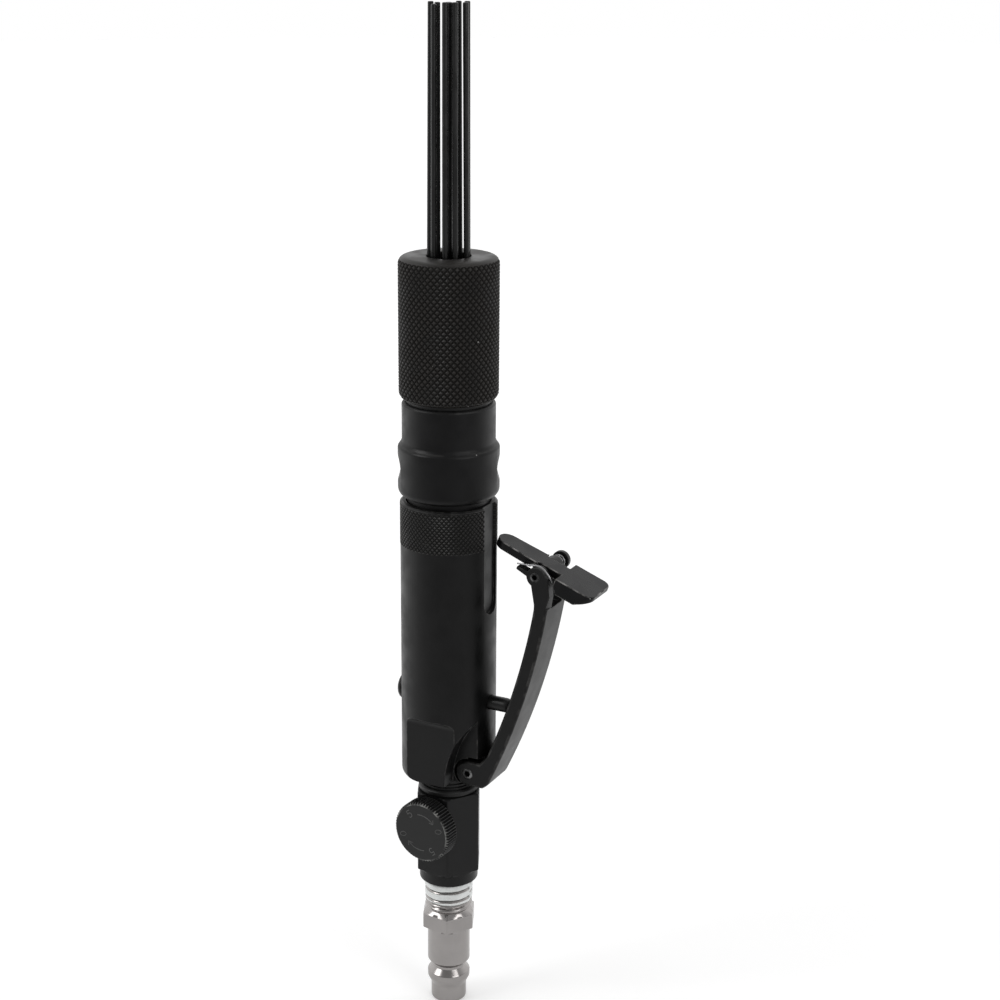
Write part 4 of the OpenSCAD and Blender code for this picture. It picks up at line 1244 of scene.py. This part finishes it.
@dataclass
class ThrottleLever:
    """The lever with its pins and the latch's spring."""

    side: float = 6.0
    near: float = 0.02
    wide: float = 0.7
    fine: float = 0.2
    arm_top: float = 127.5
    pivot: Pair = (8.85, 73.9)
    pivot_clear: float = 2.6
    spring_bend: Pair = (-5.0, -4.0)
    pin_cols: int = 48
    socket_share: float = 0.62
    socket_deep: float = 1.4
    socket_across: float = 1.75
    socket_turn: float = 10.0
    rubbed_and_highlit: float = 0.25

    def on_side(self, edge: Edge) -> bool:
        """Whether an edge lies on one of the arm's two outer sides, clear of the pivot's hole."""
        return all(
            abs(abs(at.y) - self.side) < self.near
            and at.z < self.arm_top
            and math.hypot(at.x - self.pivot[0], at.z - self.pivot[1]) > self.pivot_clear
            for at in (vert.co / MM for vert in edge.verts)
        )

    def pin(self, node: str, radius: float, head_r: float, head: float) -> Piece:
        """A pin with a rubbed rim, painted bright as a highlight, about the six-sided socket in its near end, and a
        head at its far end.

        Args:
            node: the pin's CAD node.
            radius: radius of the pin.
            head_r: radius of its head.
            head: length of its head.

        Returns:
            The piece.
        """
        low, high = (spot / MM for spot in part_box(node))
        middle, length, socket = (low + high) / 2, high.y - low.y, self.socket_share * radius
        axis = Axis((middle.x, low.y, middle.z), (0.0, -1.0, 0.0))
        line = rounded(
            [(0.0, -self.socket_deep, 0.0), (socket, -self.socket_deep, 0.0), (socket, 0.0, 0.06), (radius, 0.0, 0.2),
             (radius, head - length, 0.0), (head_r, head - length, 0.25), (head_r, -length, 0.25), (0.0, -length, 0.0)],
        )

        def shape(at: Spots) -> Array:
            """Radius of the pin: the socket is a hexagon."""
            flats = hexagon(self.socket_across * socket, at.angle, self.socket_turn)
            return np.where((at.radius < socket + self.near) & (at.radius > 0.1), flats, at.radius)

        def worn_and_highlit(at: Spots) -> Array:
            """Wear and painted highlight of the pin: the rim about the socket."""
            return np.where((at.height > -self.rubbed_and_highlit) & (at.radius > socket), 1.0, 0.0)

        return turned(f"{node}_turned", line, self.pin_cols, axis=axis, shape=shape, edge=worn_and_highlit)

    def build(self) -> None:
        """Makes the lever, both pins and the spring."""
        lever = softened("throttle_lever", "lever_arm", self.fine, self.wide, self.on_side)
        dress(lever, Rides.LEVER, Finishes.LEVER, "throttle_lever")
        dress(self.pin("lever_pin", 1.5, 1.5, 1.0), Rides.TOOL, Finishes.PINS, "lever_pin")
        dress(self.pin("latch_pin", 1.3, 2.5, 1.4), Rides.LEVER, Finishes.PINS, "latch_pin")
        spring = rounded_wire("latch_spring")
        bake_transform(spring)
        dress(spring, None, Finishes.SPRING, "latch_spring")


@dataclass
class SafetyLatch:
    """The latch with its nose, waist and tail."""

    edge_round: float = 0.25
    sharp_deg: float = 30.0

    def build(self) -> None:
        """Makes the latch."""
        latch = softened("safety_latch", "latch_plate", self.edge_round, sharp_deg=self.sharp_deg)
        dress(latch, Rides.LATCH, Finishes.LATCH, "safety_latch")


@dataclass
class FrontEnd:
    """The collar and the knurled sleeve."""

    collar_round: float = 0.3
    outer_r: float = 13.2
    hole_r: float = 5.85
    bore_r: float = 10.26
    wall: float = 0.5
    low: float = 177.7
    top: float = 215.4
    roof: float = 209.4
    foot_round: float = 2.1
    top_round: float = 2.0
    row_gap: float = 0.03
    round_rows: int = 10
    knurl: DiamondKnurl = DiamondKnurl(48, 1.82, 0.42, 178.3, 214.6, 0.5)

    def outside(self, height: Array) -> Array:
        """Radius of the sleeve's blank at a height: a cylinder with a rounded foot and top.

        Args:
            height: heights.

        Returns:
            Radii.
        """
        below = np.clip(self.low + self.foot_round - height, 0, self.foot_round)
        above = np.clip(height - self.top + self.top_round, 0, self.top_round)
        foot = self.foot_round - np.sqrt(self.foot_round**2 - below**2)
        return self.outer_r - foot - self.top_round + np.sqrt(self.top_round**2 - above**2)

    def profile(self) -> Array:
        """The closed line of the sleeve from its foot, up the knurl, over the top and down the hole."""
        rows = self.knurl.heights()
        arc = np.sin(np.radians(np.linspace(0, 90, self.round_rows)))
        foot = self.low + self.foot_round * (1 - arc[::-1])
        head = self.top - self.top_round * (1 - arc)
        rows = np.concatenate([foot[foot < rows[0] - self.row_gap], rows, head[head > rows[-1] + self.row_gap]])
        hole = rounded(
            [(9.0, self.top, 0.0), (self.hole_r, self.top, 0.35), (self.hole_r, self.roof, 0.2),
             (self.bore_r, self.roof, 0.3), (self.bore_r, self.low, 0.2)],
            closed=False,
        )
        return np.concatenate([np.stack([self.outside(rows), rows], 1), hole])

    def knurled(self, at: Spots) -> Array:
        """Where the knurl is: on the outside, between its ends."""
        return (at.radius > self.bore_r + self.wall) & (at.height > self.knurl.low) & (at.height < self.knurl.high)

    def shape(self, at: Spots) -> Array:
        """Radius of the sleeve: the knurl is cut into its outside."""
        return np.where(self.knurled(at), at.radius - self.knurl.cut(at), at.radius)

    def crest(self, at: Spots) -> Array:
        """The knurl's crest on its span, and 1 on the plain parts."""
        return np.where(self.knurled(at), self.knurl.crest(at), 1.0)

    def build(self) -> None:
        """Makes the collar and the sleeve."""
        collar = softened("front_collar", "collar_turned", self.collar_round)
        dress(collar, Rides.TOOL, Finishes.COLLAR, "front_collar")
        sleeve = turned(
            "sleeve_knurled", self.profile(), self.knurl.cols(), shape=self.shape, crest=self.crest, crossed=True,
            smooth_deg=14.0,
        )
        dress(sleeve, Rides.TOOL, Finishes.SLEEVE, "front_sleeve")


@dataclass
class NeedlePack:
    """The bundle of needles, loose in the guide, so that they stand a little uneven."""

    radius: float = 0.75
    bevel: float = 0.18
    head_r: float = 1.25
    head_edge: float = 0.1
    head_span: Pair = (164.7, 166.2)
    guide_z: float = 214.0
    tip_z: float = 278.0
    tip_spread: Pair = (0.2, 0.8)
    tip_seed: int = 7
    rings: Tuple[Tuple[int, float], ...] = ((9, 4.45), (3, 1.75))
    across_deg: float = 28.0
    sways: Tuple[Pair, ...] = (
        (0.62, 0.25), (0.5, 0.25), (0.1, -0.25), (0.0, 0.1), (0.1, 0.12), (-0.49, -0.1), (-0.1, 0.1),
        (0.4, 0.46), (0.03, -0.15), (0.1, 0.05), (0.3, 0.4), (0.5, 0.55),
    )
    rows: int = 6
    cols: int = 20

    def spots(self) -> Array:
        """Places of the needles in the holder: an outer ring and an inner one, as (x, y) rows."""
        return np.concatenate([reach * circle(ring(count)) for count, reach in self.rings])

    def needle(self, spot: Array, sway: Pair, tip: float) -> Surface:
        """One needle: circles whose middles move sideways, in straight lines from the holder to the guide
        and from there to the tip.

        Args:
            spot: its place in the holder.
            sway: how far it stands sideways at the guide and at its tip.
            tip: height of its tip.

        Returns:
            Points and faces.
        """
        low, high = self.head_span
        line = np.concatenate([
            [(0.0, low), (self.head_r - self.head_edge, low), (self.head_r, low + self.head_edge),
             (self.head_r, high), (self.radius, high)],
            column(self.radius, np.linspace(self.guide_z, tip - self.bevel, self.rows)),
            [(self.radius - self.bevel, tip), (0.0, tip)],
        ])
        side = np.interp(line[:, 1], [high, self.guide_z, tip], [0.0, *sway])
        middle = spot + side[:, None] * circle(np.radians(self.across_deg))
        flat = middle[:, None] + line[:, :1, None] * circle(ring(self.cols))
        height = np.broadcast_to(line[:, 1:, None], (len(line), self.cols, 1))
        return np.concatenate([flat, height], -1).reshape(-1, 3), grid_faces(len(line), self.cols, False)

    def build(self) -> None:
        """Makes the bundle, its tips a little uneven."""
        tips = self.tip_z + np.random.default_rng(self.tip_seed).uniform(*self.tip_spread, len(self.sways))
        bundle = gathered([self.needle(*each) for each in zip(self.spots(), self.sways, tips)])
        dress(put_mesh("needle_bundle", *bundle), Rides.NEEDLES, Finishes.NEEDLE, "needles")


@dataclass
class InnerWorks:
    """The pieces inside: springs with a rounded wire, carried on the tool, and CAD nodes that keep their shape.

    Each spring has its joint, the axis that it shortens along (0 is X), the end of its box that stays (0 is the low
    one) and its stroke; the build reads only its node.
    """

    springs: Tuple[Tuple[str, str, int, int, float], ...] = (
        ("valve_spring", "valve_stroke", 0, 0, 2.1),
        ("needle_spring", "needle_travel", 2, 1, 5.0),
    )
    plain: Tuple[Tuple[Finish, Tuple[str, ...]], ...] = (
        (Finishes.BRASS, ("inlet_screen", "regulator_stem")),
        (Finishes.RUBBER, ("stem_oring", "valve_cap_oring", "valve_poppet", "pin_oring", "sleeve_seal")),
        (Finishes.SPRING, ("stem_clip",)),
        (Finishes.PINS, ("valve_pin",)),
        (Finishes.STEEL, ("valve_plate", "cylinder_liner", "piston", "anvil", "needle_holder")),
    )

    def build(self) -> None:
        """Winds the springs and finishes the CAD nodes that stay."""
        for node, joint, axis, end, stroke in self.springs:
            spring = rounded_wire(node)
            dress(spring, Rides.TOOL, Finishes.SPRING, node)
            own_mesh(spring)
        for finish, nodes in self.plain:
            for node in nodes:
                coat(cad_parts[node], finish)
                LOG.info("%s keeps its CAD shape", node)


@dataclass
class Studio:
    """The camera at the photograph's angle, the white floor, the even sky and the soft lamps."""

    azimuth_deg: float = 28.0
    pitch_deg: float = 17.2
    level: float = 497.4
    height: float = 303.5
    view_deg: float = 28.76
    shift_x: float = 0.0512
    clip: Pair = (0.01, 50.0)
    floor_rings: Triple = (0.0, 400.0, 4000.0)
    floor_z: float = -0.05
    floor_cols: int = 64
    floor_colour: Tuple[float, ...] = (0.9, 0.9, 0.9, 1.0)
    floor_span: Pair = (-0.35, 0.2)
    sky_span: Pair = (-0.6, 0.5)
    front: float = 0.32
    glow: Pair = (0.24, 0.42)
    glow_span: Pair = (0.1, 0.7)
    lamp_size: float = 0.6
    lamp_aim: Triple = (0.0, 0.0, 0.14)
    lamps: Tuple[Tuple[str, Triple, float], ...] = (
        ("lamp_left", (-0.75, -0.75, 0.75), 4.0),
        ("lamp_right", (0.9, -0.35, 0.55), 3.0),
    )

    def camera(self) -> None:
        """Makes the scene's camera."""
        turn = math.radians(self.azimuth_deg)
        data = bpy.data.cameras.new("camera")
        data.sensor_fit = "HORIZONTAL"
        data.angle = math.radians(self.view_deg)
        data.shift_x = self.shift_x
        data.clip_start, data.clip_end = self.clip
        eye = linked("camera", data)
        eye.location = (self.level * MM * math.sin(turn), -self.level * MM * math.cos(turn), self.height * MM)
        eye.rotation_euler = (math.radians(90 - self.pitch_deg), 0.0, turn)
        bpy.context.scene.camera = eye

    def floor(self) -> None:
        """Makes a round white floor under the plug. Its glow is weaker near the tool, where its shadow falls."""
        flat = np.array(self.floor_rings)[:, None, None] * circle(ring(self.floor_cols))
        points = np.concatenate([flat, np.full_like(flat[..., :1], self.floor_z)], -1)
        floor = put_mesh("floor", points, grid_faces(len(points), self.floor_cols, False))
        made = bpy.data.materials.new("floor_white")
        graph = Graph.of(made)
        ray = graph.add("ShaderNodeLightPath").outputs
        where = graph.add("ShaderNodeTexCoord").outputs["Object"]
        tone = graph.math("MAXIMUM", self.behind(graph, where, self.floor_span), ray["Is Camera Ray"])
        paint = graph.add("ShaderNodeBsdfDiffuse", in_Color=graph.mix(tone, BLACK, self.floor_colour))
        direct = graph.math("MAXIMUM", ray["Is Camera Ray"], ray["Is Glossy Ray"])
        reach = graph.add("ShaderNodeVectorMath", operation="LENGTH", in_0=where).outputs["Value"]
        power = graph.product(direct, tone, graph.ramp(reach, *self.glow_span, *self.glow))
        glow = graph.add("ShaderNodeEmission", in_Color=WHITE, in_Strength=power)
        seen = graph.add("ShaderNodeAddShader", in_0=paint.outputs[0], in_1=glow.outputs[0])
        graph.add("ShaderNodeOutputMaterial", in_Surface=seen.outputs[0])
        floor.data.materials.append(made)

    def light(self) -> None:
        """Makes the sky, white to the eye and behind the tool and dimmer in front, and two soft lamps."""
        world = bpy.data.worlds.new("studio")
        graph = Graph.of(world)
        seen = graph.add("ShaderNodeLightPath").outputs["Is Camera Ray"]
        way = graph.add("ShaderNodeTexCoord").outputs["Generated"]
        strength = graph.math("MAXIMUM", self.behind(graph, way, self.sky_span), seen)
        sky = graph.add("ShaderNodeBackground", in_Color=WHITE, in_Strength=strength)
        graph.add("ShaderNodeOutputWorld", in_Surface=sky.outputs[0])
        bpy.context.scene.world = world
        for name, spot, power in self.lamps:
            data = bpy.data.lights.new(name, "AREA")
            data.size, data.energy = self.lamp_size, power
            lamp = linked(name, data)
            lamp.location = spot
            lamp.rotation_euler = (Vector(self.lamp_aim) - Vector(spot)).to_track_quat("-Z", "Y").to_euler()

    def behind(self, graph: Graph, where: Socket, span: Pair) -> Socket:
        """How bright the studio is at a place or in a direction: dim in front of the tool, 1 behind it.

        Args:
            graph: the tree to add to.
            where: the place or direction.
            span: how far behind the tool's axis it starts to brighten and is bright.

        Returns:
            The socket with the brightness.
        """
        turn = math.radians(self.azimuth_deg)
        back = (-math.sin(turn), math.cos(turn), 0.0)
        away = graph.add("ShaderNodeVectorMath", operation="DOT_PRODUCT", in_0=where, in_1=back)
        return graph.ramp(away.outputs["Value"], *span, self.front, 1.0)

    def build(self) -> None:
        """Sets up the picture."""
        self.camera()
        self.floor()
        self.light()
        bpy.context.scene.view_settings.view_transform = "Standard"


def main() -> None:
    """Builds every sub-assembly."""
    logging.basicConfig(level=logging.INFO, format="%(name)s: %(message)s")
    for part in (
        Studio(), AirPlug(), Regulator(), RegulatorKnob(), BodyShell(), ThrottleLever(), SafetyLatch(), FrontEnd(),
        NeedlePack(), InnerWorks(),
    ):
        part.build()
        LOG.info("%s is built", type(part).__name__)
    bpy.context.view_layer.update()


if __name__ == "__main__":
    main()
